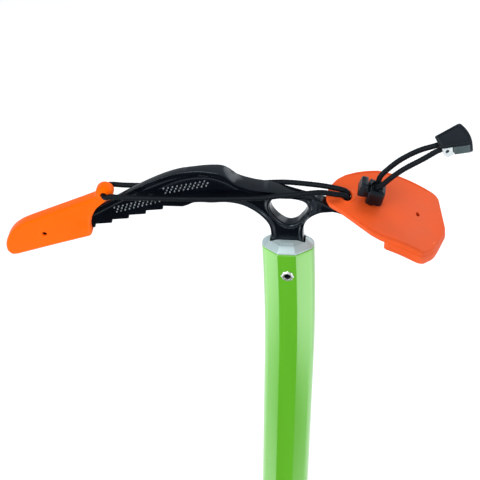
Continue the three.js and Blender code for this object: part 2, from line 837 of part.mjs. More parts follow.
// ---------- Assembly ----------
const iceAxe = new THREE.Group();
const headRivet = tubularRivet("head_rivet");
headRivet.position.set(headRivetX, 0, headRivetZ);
headRivet.rotation.y = -topLean;
const spikeRivet = tubularRivet("spike_rivet");
spikeRivet.position.z = spike.rivetHeight;
iceAxe.add(shaftTube(), shaftCollar(), headRivet, spikePoint(), spikeRivet);

for (const [end, side] of [
  ["near", -1],
  ["far", 1],
]) {
  const tangFrom = shaft.top - tang.depth - 2;
  const tangTo = shaft.top - collar.spigot - 1;
  iceAxe.add(
    fillerHalf("tang_filler_" + end, side, tangFrom, tangTo, headRivetX, headRivetZ),
    fillerHalf("spike_filler_" + end, side, shaft.bottom + 1, spike.tangTop, 0, spike.rivetHeight),
  );
}

const headGroup = new THREE.Group();
headGroup.position.set(topX, 0, topZ);
lockPlace.add(cordLockBody(), cordLockButton(), cordLockSpring());
tabPlace.add(pullTabShell(), pullTabClip(), pullTabInsert());
headGroup.add(forgedHead(), pickGuard(), adzeGuard(), shockCord(), lockPlace, tabPlace);
iceAxe.add(headGroup);

export default iceAxe;
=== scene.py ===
"""Looks of the ice axe with its head guards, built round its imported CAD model.

Outlines are in millimetres in the head's own frame, which stands on the middle of the shaft's top rim:
x runs fore and aft, y to the far side, z up. Frames turn them into metres in the CAD's frame.
"""

import json
import math

import bpy
import bmesh
import numpy as np
from mathutils import Matrix, Vector
from mathutils.geometry import delaunay_2d_cdt


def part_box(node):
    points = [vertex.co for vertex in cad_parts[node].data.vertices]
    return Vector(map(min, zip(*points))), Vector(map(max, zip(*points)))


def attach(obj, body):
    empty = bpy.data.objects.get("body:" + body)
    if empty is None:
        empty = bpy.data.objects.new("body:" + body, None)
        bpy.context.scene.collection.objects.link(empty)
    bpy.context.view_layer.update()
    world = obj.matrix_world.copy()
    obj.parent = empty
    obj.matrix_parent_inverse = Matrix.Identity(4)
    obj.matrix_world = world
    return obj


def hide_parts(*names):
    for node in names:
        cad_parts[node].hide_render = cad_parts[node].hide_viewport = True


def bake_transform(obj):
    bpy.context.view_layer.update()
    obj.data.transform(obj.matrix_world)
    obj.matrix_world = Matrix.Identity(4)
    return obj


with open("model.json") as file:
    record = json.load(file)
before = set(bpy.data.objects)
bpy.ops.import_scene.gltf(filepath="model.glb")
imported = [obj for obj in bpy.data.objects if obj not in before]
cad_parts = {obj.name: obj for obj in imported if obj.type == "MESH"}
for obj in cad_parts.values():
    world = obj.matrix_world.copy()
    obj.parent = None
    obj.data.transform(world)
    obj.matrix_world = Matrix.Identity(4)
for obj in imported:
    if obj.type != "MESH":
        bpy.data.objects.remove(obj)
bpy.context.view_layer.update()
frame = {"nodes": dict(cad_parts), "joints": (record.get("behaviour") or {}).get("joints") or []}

MM = 0.001
X, Y, Z = Vector((1, 0, 0)), Vector((0, 1, 0)), Vector((0, 0, 1))


# ---------- Frames and sizes taken from the CAD ----------
def box_mm(node):
    low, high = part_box(node)
    return low / MM, high / MM


def axes(origin, x_axis, y_axis, z_axis):
    """The matrix from a local frame in millimetres to the CAD's frame in metres."""
    columns = [Vector(axis).to_4d() * MM for axis in (x_axis, y_axis, z_axis)]
    for column in columns:
        column.w = 0
    return Matrix((*columns, Vector(origin).to_4d())).transposed()


joints = {joint["name"]: joint for joint in frame["joints"]}


def joint_place(name):
    return Vector(joints[name]["pos_m"])


def joint_axis(name):
    return Vector(joints[name]["axis"])


HEAD_RISE = 54  # from the shaft's top rim to the top of the head
PICK_REACH = 157  # from the shaft's middle to the pick's point
head_low, head_high = box_mm("head")
HEAD_ORIGIN = Vector((head_low.x + PICK_REACH, 0, head_high.z - HEAD_RISE)) * MM
SIDE = axes(HEAD_ORIGIN, X, Z, -Y)  # outline in the side view, height towards the near side
PLAN = axes(HEAD_ORIGIN, X, Y, Z)  # outline in plan, height up
bend = (joint_place("adze_guard_swing") - HEAD_ORIGIN) / MM  # centre of the adze's curve

HALF_THICKNESS = box_mm("shaft_tube")[1].y
SIDE_CENTRE = 9.45
SIDE_RADIUS = 6.5
FACET = math.radians(55)
BEND_LENGTH = 100
BEND_RADIUS = 1830
SHAFT_TOP = 446
TOP_LEAN = BEND_LENGTH / BEND_RADIUS

CORD_RADIUS = 1.5
LOCK_EXIT = 9  # height of the strands' way out over the lock's frame
LOCK_CORD_X = -0.4
lock_x, lock_z = joint_axis("cord_lock_press"), joint_axis("cord_lock_slide")
LOCK_ORIGIN = joint_place("pull_tab_swing") - (LOCK_EXIT * lock_z + LOCK_CORD_X * lock_x) * MM
LOCK = axes(LOCK_ORIGIN, lock_x, Y, lock_z)

TAB_LENGTH = 17
TAB_BULGE = 1.5  # how far the tab's outer end stands out at its middle
TAB_SEAM = 1.9  # height where the tab's shell lies on its clip and insert
TAB_PITCH = math.radians(11)
tab_y = -joint_axis("pull_tab_clip_hinge")
tab_x = tab_y.cross(Z) * math.cos(TAB_PITCH) + Z * math.sin(TAB_PITCH)
tab_z = tab_x.cross(tab_y)
hinge_offset = (TAB_LENGTH + TAB_BULGE) * tab_x + TAB_SEAM * tab_z
TAB_ORIGIN = joint_place("pull_tab_clip_hinge") - hinge_offset * MM
TAB = axes(TAB_ORIGIN, tab_x, tab_y, tab_z)


# ---------- Outlines ----------
def curve(points, step=1.0):
    """Points about step apart on a smooth curve through the given ones, which may be in 2D or 3D."""
    given = np.array(points, float)
    ends = np.vstack([2 * given[0] - given[1], given, 2 * given[-1] - given[-2]])
    made = []
    for before, start, end, after in zip(ends, ends[1:], ends[2:], ends[3:]):
        count = max(1, math.ceil(np.linalg.norm(end - start) / step))
        knots = np.sqrt([np.linalg.norm(q - p) for p, q in ((before, start), (start, end), (end, after))])
        slope_in = slope(before, start, end, knots[0], knots[1]) * knots[1]
        slope_out = slope(start, end, after, knots[1], knots[2]) * knots[1]
        for t in np.arange(count) / count:
            made.append(
                start * (1 + t * t * (2 * t - 3))
                + end * t * t * (3 - 2 * t)
                + slope_in * t * (1 - t) ** 2
                + slope_out * t * t * (t - 1)
            )
    return np.array(made + [given[-1]])


def slope(a, b, c, before, after):
    """The slope at b of a smooth curve through a, b and c, with the given knot spacings."""
    return (b - a) / before - (c - a) / (before + after) + (c - b) / after


def ring(points, step):
    """A closed smooth curve through points, whose last point repeats the first; the repeat is left out."""
    whole = curve([*points[-3:-1], *points, *points[1:3]], step)
    start, end = np.flatnonzero(np.linalg.norm(whole - points[0], axis=1) < 1e-6)[[0, -1]]
    return whole[start:end]


def stretches(*runs):
    """A closed outline of smooth runs that meet at corners. Each run starts where the last one ends."""
    return np.vstack([curve(run)[:-1] for run in runs])


def filleted(corners):
    """A closed outline of straight sides. A corner's third number is how far from it its round starts."""
    made = []
    for i, corner in enumerate(corners):
        here = np.array(corner[:2], float)
        reach = corner[2] if len(corner) > 2 else 0
        if not reach:
            made.append(here)
            continue
        ends = []
        for other in (corners[i - 1], corners[(i + 1) % len(corners)]):
            away = np.array(other[:2], float) - here
            ends.append(here + away / np.linalg.norm(away) * reach)
        for t in np.linspace(0, 1, 7):
            made.append(ends[0] * (1 - t) ** 2 + here * 2 * t * (1 - t) + ends[1] * t * t)
    return np.array(made)


def mirrored(half):
    """An outline in plan from [x, half-width] corners on its near side."""
    return filleted([(c[0], -c[1], *c[2:]) for c in half] + [tuple(c) for c in reversed(half)])


def ellipse(x, y, across, along, count=40):
    turn = np.arange(count) * 2 * math.pi / count
    return np.column_stack([x + across * np.cos(turn), y + along * np.sin(turn)])


def spaced(loop, step):
    """The same outline with no side longer than step."""
    made = []
    for start, end in zip(loop, np.roll(loop, -1, axis=0)):
        count = max(1, math.ceil(np.linalg.norm(end - start) / step))
        made.extend(start + (end - start) * t for t in np.arange(count) / count)
    return np.array(made)


def in_chunks(points, work):
    """The result of work on all points, taken a chunk at a time to keep its tables small."""
    chunk = 1500
    parts = [points[at : at + chunk, None] for at in range(0, max(1, len(points)), chunk)]
    return np.concatenate([work(part) for part in parts])


def closest(points, starts, ends):
    """Each point's distance to the nearest of many straight sides."""
    run = ends - starts
    length2 = np.maximum((run**2).sum(1), 1e-12)

    def gaps(part):
        gap = part - starts
        share = np.clip((gap * run).sum(2) / length2, 0, 1)
        return np.linalg.norm(gap - share[..., None] * run, axis=2).min(1)

    return in_chunks(points, gaps)


def distance_to(points, line):
    line = np.array(line, float)
    return closest(points, line[:-1], line[1:])


def within(points, starts, ends):
    """Which points lie inside outlines given by their sides; a hole's sides turn them outside again."""
    rise = np.where(ends[:, 1] == starts[:, 1], 1, ends[:, 1] - starts[:, 1])

    def crossed(part):
        x, y = part[..., 0], part[..., 1]
        spans = (starts[:, 1] > y) != (ends[:, 1] > y)
        crossing = starts[:, 0] + (y - starts[:, 1]) * (ends[:, 0] - starts[:, 0]) / rise
        return (spans & (x < crossing)).sum(1) % 2 == 1

    return in_chunks(points, crossed)


def across_to(along):
    """Unit directions in 2D at right angles to the given ones."""
    across = np.column_stack([-along[:, 1], along[:, 0]])
    return across / np.maximum(np.linalg.norm(across, axis=1), 1e-9)[:, None]


def smooth(value, low, high):
    t = np.clip((value - low) / (high - low), 0, 1)
    return t * t * (3 - 2 * t)


def bump(distance, width):
    """A round ridge of height 1 and the given half-width, by distance from its middle."""
    return 1 - smooth(np.abs(distance), 0, width)


def round_off(distance, radius):
    """How far a surface drops near its edge, where that edge is rounded to a radius."""
    inward = np.clip(radius - distance, 0, radius)
    return radius - np.sqrt(radius**2 - inward**2)


def level(height):
    """A flat height field for slab."""
    return lambda points, depth: height + 0 * depth


def opposite(half):
    """The height field under a slab that is the same on both sides."""
    return lambda points, depth: -half(points, depth)


# ---------- Meshes ----------
def linked(name, data):
    made = bpy.data.objects.new(name, data)
    bpy.context.scene.collection.objects.link(made)
    return made


def piece_from(name, points, faces, sharp):
    mesh = bpy.data.meshes.new(name)
    mesh.from_pydata([tuple(p) for p in points], [], [tuple(f) for f in faces])
    return settle(linked(name, mesh), sharp)


def settle(piece, sharp=38):
    """Merges doubled points, drops loose ones, turns faces outwards and shades smooth up to an angle."""
    bm = bmesh.new()
    bm.from_mesh(piece.data)
    bmesh.ops.remove_doubles(bm, verts=bm.verts, dist=1e-6)
    bmesh.ops.dissolve_degenerate(bm, edges=bm.edges, dist=1e-7)
    bmesh.ops.delete(bm, geom=[v for v in bm.verts if not v.link_faces], context="VERTS")
    bmesh.ops.recalc_face_normals(bm, faces=bm.faces)
    bm.to_mesh(piece.data)
    bm.free()
    piece.data.shade_smooth()
    piece.data.set_sharp_from_angle(angle=math.radians(sharp))
    return piece


def placed(points, place):
    matrix = np.array(place)
    return np.asarray(points, float) @ matrix[:3, :3].T + matrix[:3, 3]


THINNEST = 0.05  # half the thickness that a slab keeps where its two sides would meet
ROUND_ROWS = (0.12, 0.3, 0.6, 1.0, 1.5, 2.1)  # rows of points inside an edge, for its round


def slab(name, loops, upper, lower, place, spacing=1.4, rows=ROUND_ROWS, extra=None, sharp=38):
    """A closed solid between two height fields over flat outlines, the first the outside, the rest holes.

    upper and lower give the heights of points by (points, distance from the nearest edge).
    """
    loops = [spaced(np.array(loop, float), spacing * 0.8) for loop in loops]
    starts = np.vstack(loops)
    ends = np.vstack([np.roll(loop, -1, axis=0) for loop in loops])
    free = [grid_over(starts, ends, spacing, rows[-1] + spacing * 0.4)]
    along = np.vstack([np.roll(loop, -1, axis=0) - np.roll(loop, 1, axis=0) for loop in loops])
    across = across_to(along)
    for row in rows:
        for way in (1, -1):
            moved = starts + across * row * way
            moved = moved[within(moved, starts, ends)]
            free.append(moved[closest(moved, starts, ends) > row * 0.93])
    if extra is not None:
        moved = extra[within(extra, starts, ends)]
        free.append(moved[closest(moved, starts, ends) > rows[0]])
    edges, at = [], 0
    for loop in loops:
        edges += [(at + i, at + (i + 1) % len(loop)) for i in range(len(loop))]
        at += len(loop)
    cloud = np.vstack([starts, *free])
    verts, _, faces, *_ = delaunay_2d_cdt([Vector(p) for p in cloud], edges, [], 1, 1e-5)
    flat = np.array([tuple(v) for v in verts])
    faces = np.array([f for f in faces if len(f) == 3])
    faces = faces[within(flat[faces].mean(1), starts, ends)]
    depth = closest(flat, starts, ends)
    count = len(flat)
    top, foot = upper(flat, depth), lower(flat, depth)
    middle, half = (top + foot) / 2, np.maximum((top - foot) / 2, THINNEST)
    high = np.column_stack([flat, middle + half])
    low = np.column_stack([flat, middle - half])
    used = {}
    for a, b, c in faces:
        for edge in ((a, b), (b, c), (c, a)):
            used[frozenset(edge)] = None if frozenset(edge) in used else edge
    walls = [(a, b, b + count, a + count) for a, b in (e for e in used.values() if e)]
    solid = [tuple(f) for f in faces] + [tuple(f[::-1] + count) for f in faces] + walls
    return piece_from(name, placed(np.vstack([high, low]), place), solid, sharp)


def grid_over(starts, ends, spacing, margin):
    """A triangular grid of points inside outlines, kept a margin away from every edge."""
    low, high = starts.min(0), starts.max(0)
    cells = []
    for i, y in enumerate(np.arange(low[1], high[1], spacing * 0.87)):
        x = np.arange(low[0] + (i % 2) * spacing / 2, high[0], spacing)
        cells.append(np.column_stack([x, np.full_like(x, y)]))
    grid = np.vstack(cells)
    grid = grid[within(grid, starts, ends)]
    return grid[closest(grid, starts, ends) > margin]


def loft(name, sections, place, sharp=38, closed_ends=True):
    """A closed solid through sections, each the same number of 3D points."""
    count = len(sections[0])
    points = np.vstack(sections)
    faces = []
    for row in range(len(sections) - 1):
        for i in range(count):
            j = (i + 1) % count
            base = row * count
            faces.append((base + i, base + j, base + count + j, base + count + i))
    if closed_ends:
        faces.append(tuple(range(count))[::-1])
        faces.append(tuple(range(len(points) - count, len(points))))
    return piece_from(name, placed(points, place), faces, sharp)


def lathe(name, profile, place, count, radius_of=None):
    """A ring turned about its frame's z from a closed (radius, height) profile."""
    sections = []
    for turn in turns(count):
        reach = [radius_of(turn, r) if radius_of else r for r, _ in profile]
        sections.append([(r * math.cos(turn), r * math.sin(turn), h) for r, (_, h) in zip(reach, profile)])
    return loft(name, sections + sections[:1], place, closed_ends=False)


def combine(piece, operation, *tools, sharp=38):
    """Joins tools to a piece or cuts them out of it, and deletes the tools."""
    for tool in tools:
        modifier = piece.modifiers.new("combine", "BOOLEAN")
        modifier.operation = operation
        modifier.solver = "EXACT"
        modifier.object = tool
        bpy.context.view_layer.update()
        graph = bpy.context.evaluated_depsgraph_get()
        before = piece.data
        piece.data = bpy.data.meshes.new_from_object(piece.evaluated_get(graph), depsgraph=graph)
        piece.modifiers.clear()
        bpy.data.meshes.remove(before)
        bpy.data.objects.remove(tool)
    piece.data.name = piece.name
    settle(piece, sharp)


def block(name, corner, far_corner, place, bevel=0.0):
    """A box between two corners with rounded edges, for cutting or as a small part's core."""
    bm = bmesh.new()
    bmesh.ops.create_cube(bm, size=1)
    size = np.subtract(far_corner, corner)
    middle = np.add(far_corner, corner) / 2
    for vert in bm.verts:
        vert.co = Vector(np.array(vert.co) * size + middle)
    if bevel:
        bmesh.ops.bevel(bm, geom=bm.edges, offset=bevel, segments=3, profile=0.5, affect="EDGES")
    bm.transform(place)
    mesh = bpy.data.meshes.new(name)
    bm.to_mesh(mesh)
    bm.free()
    return settle(linked(name, mesh))


def peg(name, radius, start, end, place, count=32):
    """A straight cylinder between two points of a frame, for cutting holes."""
    start, end = Vector(start), Vector(end)
    turn = (end - start).to_track_quat("Z", "Y").to_matrix()
    around = [turn @ Vector((radius * math.cos(a), radius * math.sin(a), 0)) for a in turns(count)]
    return loft(name, [[start + p for p in around], [end + p for p in around]], place)


def turns(count):
    return [2 * math.pi * i / count for i in range(count)]


# ---------- Materials ----------
def nodes_of(material):
    material.use_nodes = True
    tree = material.node_tree
    return tree, tree.nodes, tree.links


def set_inputs(node, **values):
    """Sets a node's inputs by name, with _ for a space."""
    for name, value in values.items():
        node.inputs[name.replace("_", " ")].default_value = value


def noise(tree, vector, size):
    """Cloudy variation with features about size metres across."""
    node = tree.nodes.new("ShaderNodeTexNoise")
    set_inputs(node, Scale=1 / size, Detail=3)
    tree.links.new(vector, node.inputs["Vector"])
    return node.outputs["Fac"]


def ranged(tree, value, low, high, from_low=0.35, from_high=0.65):
    node = tree.nodes.new("ShaderNodeMapRange")
    set_inputs(node, From_Min=from_low, From_Max=from_high, To_Min=low, To_Max=high)
    tree.links.new(value, node.inputs["Value"])
    return node.outputs["Result"]


def mixed(tree, factor, first, second):
    """first turning into second by factor; each is a colour or a colour socket."""
    node = tree.nodes.new("ShaderNodeMix")
    node.data_type = "RGBA"
    tree.links.new(factor, node.inputs["Factor"])
    for name, value in (("A", first), ("B", second)):
        socket = [s for s in node.inputs if s.name == name and s.type == "RGBA"][0]
        if isinstance(value, bpy.types.NodeSocket):
            tree.links.new(value, socket)
        else:
            socket.default_value = (*value, 1)
    return [s for s in node.outputs if s.type == "RGBA"][0]


def look(
    name, colour, roughness, mottle, metallic=0.0, mottle_size=0.012, grain_size=0.0006,
    grain_depth=0.00002, stretch=(1, 1, 1), edge_wear_and_highlight=None, wear_and_highlight_strength=0.6, gloss=None, **inputs,
):
    """A finish: cloudy colour, uneven roughness, fine relief along stretch, and edges tinted another colour,
    which is wear on most finishes and partly a painted highlight on some.

    gloss is the strength and tint of the reflections. inputs are set on the shader as they are.
    """
    material = bpy.data.materials.new(name)
    tree, nodes, links = nodes_of(material)
    shader = nodes["Principled BSDF"]
    place = nodes.new("ShaderNodeTexCoord").outputs["Object"]
    mapping = nodes.new("ShaderNodeMapping")
    set_inputs(mapping, Scale=stretch)
    links.new(place, mapping.inputs["Vector"])
    grain = noise(tree, mapping.outputs["Vector"], grain_size)
    cloud = noise(tree, mapping.outputs["Vector"], mottle_size)
    darker = [c * (1 - mottle) for c in colour]
    lighter = [min(1, c * (1 + mottle)) for c in colour]
    tint = mixed(tree, ranged(tree, cloud, 0, 1), darker, lighter)
    # lighter colour on sharp edges: wear, and on some finishes partly a painted highlight
    if edge_wear_and_highlight:
        edge = nodes.new("ShaderNodeNewGeometry").outputs["Pointiness"]
        wear_and_highlight_mask = nodes.new("ShaderNodeMath")
        wear_and_highlight_mask.operation = "MULTIPLY"
        links.new(ranged(tree, edge, 0, wear_and_highlight_strength, 0.52, 0.6), wear_and_highlight_mask.inputs[0])
        links.new(ranged(tree, grain, 0.2, 1), wear_and_highlight_mask.inputs[1])
        tint = mixed(tree, wear_and_highlight_mask.outputs[0], tint, edge_wear_and_highlight)
    links.new(tint, shader.inputs["Base Color"])
    links.new(ranged(tree, cloud, roughness * 0.85, roughness * 1.15), shader.inputs["Roughness"])
    relief = nodes.new("ShaderNodeBump")
    set_inputs(relief, Strength=1, Distance=grain_depth)
    links.new(grain, relief.inputs["Height"])
    links.new(relief.outputs["Normal"], shader.inputs["Normal"])
    if gloss:
        set_inputs(shader, Specular_IOR_Level=gloss[0], Specular_Tint=(*gloss[1], 1))
    set_inputs(shader, Metallic=metallic, **inputs)
    return material


COOL = (0.72, 0.87, 1.0)  # the blue cast of reflections in the black finishes
# its lighter edge colour is partly wear and partly a painted highlight along the steel's edges
BLACK_STEEL = look(
    "black_steel", (0.0014, 0.0022, 0.0042), 0.2, mottle=0.3, mottle_size=0.02, grain_size=0.0005,
    grain_depth=0.000012, edge_wear_and_highlight=(0.05, 0.062, 0.07), wear_and_highlight_strength=0.5,
    gloss=(0.42, COOL),
)
GREEN_ANODISED = look(
    "green_aluminium", (0.112, 0.48, 0.003), 0.34, metallic=0.1, mottle=0.05, mottle_size=0.02,
    grain_size=0.0005, grain_depth=0.000006, stretch=(1, 1, 0.05), edge_wear_and_highlight=(0.35, 0.62, 0.2),
    Coat_Weight=1.0, Coat_Roughness=0.22, Coat_IOR=1.6,
)
BARE_ALUMINIUM = look(
    "bare_aluminium", (0.42, 0.53, 0.54), 0.42, metallic=0.3, mottle=0.05, grain_size=0.0004,
    grain_depth=0.000008, stretch=(0.15, 1, 1), edge_wear_and_highlight=(0.9, 0.95, 0.93),
)
RIVET_STEEL = look(
    "rivet_steel", (0.72, 0.74, 0.72), 0.3, metallic=0.9, mottle=0.12, mottle_size=0.002,
    edge_wear_and_highlight=(0.9, 0.9, 0.88),
)
ORANGE_PLASTIC = look(
    "orange_plastic", (0.96, 0.12, 0.0008), 0.42, mottle=0.03, mottle_size=0.03, grain_size=0.0004,
    edge_wear_and_highlight=(1.0, 0.26, 0.02), wear_and_highlight_strength=0.35,
    gloss=(0.2, (1.0, 0.4, 0.05)),
)
ORANGE_RUBBER = look(
    "orange_rubber", (0.77, 0.09, 0.015), 0.5, mottle=0.07, mottle_size=0.03, grain_size=0.0005,
    edge_wear_and_highlight=(0.95, 0.24, 0.08), wear_and_highlight_strength=0.5,
    gloss=(0.25, (1.0, 0.65, 0.45)),
)
BLACK_CORD = look(
    "black_cord", (0.0022, 0.0028, 0.0045), 0.55, mottle=0.3, mottle_size=0.004, grain_size=0.0003,
    grain_depth=0.00003, edge_wear_and_highlight=(0.008, 0.01, 0.014), gloss=(0.2, COOL),
)
BLACK_PLASTIC = look(
    "black_plastic", (0.0018, 0.003, 0.005), 0.32, mottle=0.25, mottle_size=0.006,
    edge_wear_and_highlight=(0.02, 0.028, 0.036), wear_and_highlight_strength=0.5, gloss=(0.36, COOL),
)
# a lighter copy of the black plastic: painted light for the pull tab's flat face
LIT_SLATE_PLASTIC = look(
    "slate_plastic", (0.0035, 0.0065, 0.01), 0.5, mottle=0.15, mottle_size=0.006, grain_depth=0.00003,
    edge_wear_and_highlight=(0.03, 0.04, 0.05), wear_and_highlight_strength=0.3, gloss=(0.3, COOL),
)
# the lighter edge colour is a painted highlight, standing in for the bar of light on the clip's outer end
GREY_PLASTIC = look(
    "grey_plastic", (0.04, 0.066, 0.072), 0.4, mottle=0.12, mottle_size=0.006, edge_wear_and_highlight=(0.2, 0.26, 0.27),
)
WHITE_PLASTIC = look(
    "white_plastic", (0.6, 0.67, 0.68), 0.4, mottle=0.04, mottle_size=0.006, edge_wear_and_highlight=(0.95, 0.97, 0.97),
    Subsurface_Weight=0.1, Subsurface_Scale=0.002,
)
MARK_GREY = look(
    "mark_grey", (0.11, 0.13, 0.14), 0.5, mottle=0.8, mottle_size=0.003, edge_wear_and_highlight=(0.3, 0.34, 0.36),
)
FILLER_PLASTIC = look("filler_plastic", (0.05, 0.05, 0.055), 0.7, mottle=0.15)
SPRING_STEEL = look("spring_steel", (0.5, 0.5, 0.5), 0.3, metallic=1.0, mottle=0.15, mottle_size=0.002)


def finish_piece(piece, material, body, node, slot=None):
    """Gives a piece its finish, the body it rides on and the CAD node it stands for."""
    piece.data.materials.clear()
    piece.data.materials.append(material)
    slot or material.name.split(".")[0]
    if body:
        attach(piece, body)
    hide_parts(node)


# ---------- Head ----------
TIP = (-157, -13.2)
TEETH = 6
FIRST_TOOTH = np.array([-138.9, -5.1])
TOOTH_PITCH = np.array([10.6, 4.85])
TOOTH_RUN = np.array([10.3, 2.1])
TANG_HALF = 9
TANG_DEPTH = 46
HEAD_TOP = [
    (14, 39.4), (1.2, 41.4), (-13.6, 44.1), (-22.6, 45), (-31.5, 47.8), (-36.2, 51.6), (-40.2, 53.7),
    (-46, HEAD_RISE), (-55, 53.1), (-67.5, 49.6), (-82, 42), (-106, 25), (-125, 10.6), (-145, -4.5), TIP,
]
SWELLING = (-75.3, 24)  # behind the last tooth
NECK_LEFT = [
    (-63.4, 25), (-60.4, 26.4), (-57, 28.6), (-52, 29.8), (-45.5, 30.4), (-36.5, 31.6), (-27.2, 30.2),
    (-18, 24.6), (-11.7, 16.7), (-10, 8),
]
NECK_RIGHT = [(9.5, 5), (8.8, 13.5), (9.9, 20.2), (12.8, 24.8), (17.6, 28.4), (26, 31.5)]
CARABINER_HOLE = [
    (0.2, 18), (4.6, 19.7), (7.4, 23.4), (10, 27.8), (11.2, 32.4), (8.8, 36.3), (2.8, 38.2), (-3.6, 38.6),
    (-9, 37), (-11.3, 33), (-10.2, 27.2), (-5, 20.6), (0.2, 18),
]
WEB_HALF = ((-158, -110, -60, 30), (1.2, 2, 2.8, 2.8))
FLANGE_HALF = (
    (-158, -85, -67, -55, -46, -36, -23, -13, -2, 8, 15),
    (1.2, 2.1, 2.6, 2.9, 4, 4.9, 5.3, 5.1, 4.6, 3.4, 2.8),
)
FLANGE_DEPTH = 3.1
RIM = 1.3  # how far the carabiner hole's rim stands out of the web
MARK_ROWS = (((-104.5, 17.8), (-78, 29.2), 11), ((-74, 36.2), (-49.5, 44.4), 10))
MARK_LINES = ((-1.7, 0.0), (0.0, 0.5), (1.7, 0.0))  # height of each line, and its shift in marks
MARK_LENGTH = 1.3
MARK_WIDTH = 0.75
MARK_LEAN = math.radians(-14)
RECESS_EDGE = ((-84.9, 31.2), (-73, 40.7), (-60, 47.2), (-47, 49), (-38, 46.5), (-30, 42))


def head_outline():
    teeth = []
    for i in range(TEETH):
        corner = FIRST_TOOTH + TOOTH_PITCH * i
        teeth += [corner, corner + TOOTH_RUN]
    underside = np.vstack([[TIP], teeth, [SWELLING]])
    tang = [
        (-TANG_HALF - 1, 3), (-TANG_HALF, -2), (-TANG_HALF, 3 - TANG_DEPTH), (3 - TANG_HALF, -TANG_DEPTH),
        (TANG_HALF - 3, -TANG_DEPTH), (TANG_HALF, 3 - TANG_DEPTH), (TANG_HALF, -2),
    ]
    right = curve(NECK_RIGHT)
    return np.vstack([underside, curve(NECK_LEFT), tang, right, [(26, 34)], curve(HEAD_TOP)[:-1]])


def web_half(points, depth):
    """Half the web's thickness: a blade with a T-shaped top flange, beaded edges and a recessed panel."""
    x, z = points[:, 0], points[:, 1]
    half = np.interp(x, *WEB_HALF)
    top = curve(HEAD_TOP)
    below = distance_to(points, top)
    flange = np.interp(x, *FLANGE_HALF) - half
    half = half + flange * (1 - smooth(below, FLANGE_DEPTH - 0.25, FLANGE_DEPTH + 0.7))
    hole = distance_to(points, ring(CARABINER_HOLE, 0.8))
    half = half + RIM * (1 - smooth(hole, 1.6, 3.2)) * smooth(below, 1.5, 4)
    for neck, start in ((NECK_LEFT, -60), (NECK_RIGHT, -99)):
        edge = distance_to(points, curve(neck))
        fade = smooth(x, start, start + 14) * smooth(z, 3, 8)
        half = half + 0.75 * (1 - smooth(edge, 1.5, 2.4)) * fade
        half = half - 0.35 * bump(edge - 3.1, 0.8) * fade
    panel = distance_to(points, curve(RECESS_EDGE))
    half = half - 0.18 * bump(panel, 1.3)
    edge_round = np.where(((z < 3) & (np.abs(x) < 12)) | (x < -62), 0.35, 0.6)
    edge_round = np.where(hole < depth + 0.1, 1.7, edge_round)
    return half - round_off(depth, edge_round)


def crease_points():
    """Extra rows of points along the flange's lower edge and the panel's groove."""
    rows = []
    flange_edge = (2.5, 2.85, 3.1, 3.35, 3.6, 3.85)
    groove = (-0.9, -0.45, 0, 0.45, 0.9)
    for line, offsets in ((HEAD_TOP[:-1], flange_edge), (RECESS_EDGE, groove)):
        path = curve(line, 0.7)
        across = across_to(np.gradient(path, axis=0))
        rows += [path + across * offset for offset in offsets]
    return np.vstack(rows)


def arc_height(x, radius):
    return bend.z + np.sqrt(np.maximum(radius**2 - (x - bend.x) ** 2, 0))


ADZE_TIP = 88.5
ADZE_HALF = 25
ADZE_TOP, ADZE_UNDER = 89.2, 86.2  # radii of its curved faces


def adze_blade():
    """The adze: thick at its root, thin and sharp at its far end."""
    plan = mirrored([
        (13, 3.2), (20, 3.9), (28, 5), (36, 8.6), (44, 13.5), (52, 19), (60, 24), (65, ADZE_HALF, 2),
        (77.5, ADZE_HALF, 2), (81, 23, 1.5), (85, 15.5, 2), (ADZE_TIP, 2),
    ])

    def edge_round(x):
        return 0.9 - 0.6 * smooth(x, ADZE_TIP - 20, ADZE_TIP - 5)

    def upper(points, depth):
        x = points[:, 0]
        radius = ADZE_TOP + 3.1 * smooth(x, 50, 61) - 0.9 * smooth(x, ADZE_TIP - 10, ADZE_TIP)
        early = np.interp(x, (13, 19, 26), (39.2, 37.6, 34.3))
        return np.where(x < 26, early, arc_height(x, radius)) - round_off(depth, edge_round(x))

    def lower(points, depth):
        x = points[:, 0]
        radius = ADZE_UNDER + 3.5 * smooth(x, 26, 60) + 0.9 * smooth(x, ADZE_TIP - 10, ADZE_TIP)
        early = np.interp(x, (13, 18, 26), (25.4, 28.9, 31.4))
        return np.where(x < 26, early, arc_height(x, radius)) + round_off(depth, edge_round(x))

    return slab("adze", [plan], upper, lower, PLAN, spacing=1.6)


def rivet_bore(centre, reach, place):
    x, _, z = centre
    return peg("bore", RIVET_BORE, (x, -reach, z), (x, reach, z), place)


def forged_head():
    loops = [head_outline(), ring(CARABINER_HOLE, 0.8)]
    rows = (0.1, 0.22, 0.4, 0.65, 0.95, 1.4, 1.9, 2.5, 3.2)
    web = slab(
        "head_forging", loops, web_half, opposite(web_half), SIDE, spacing=1.3, rows=rows,
        extra=crease_points(), sharp=50,
    )
    combine(web, "UNION", adze_blade(), sharp=50)
    combine(web, "DIFFERENCE", rivet_bore(RIVET_PLACE, 9, PLAN), sharp=50)
    finish_piece(web, BLACK_STEEL, "axe", "head")


def mark_centres():
    for start, end, count in MARK_ROWS:
        step = (np.array(end) - np.array(start)) / (count - 1)
        across = np.array([-step[1], step[0]]) / np.linalg.norm(step)
        for height, shift in MARK_LINES:
            for i in range(count):
                yield np.array(start) + step * (i + shift) + across * height


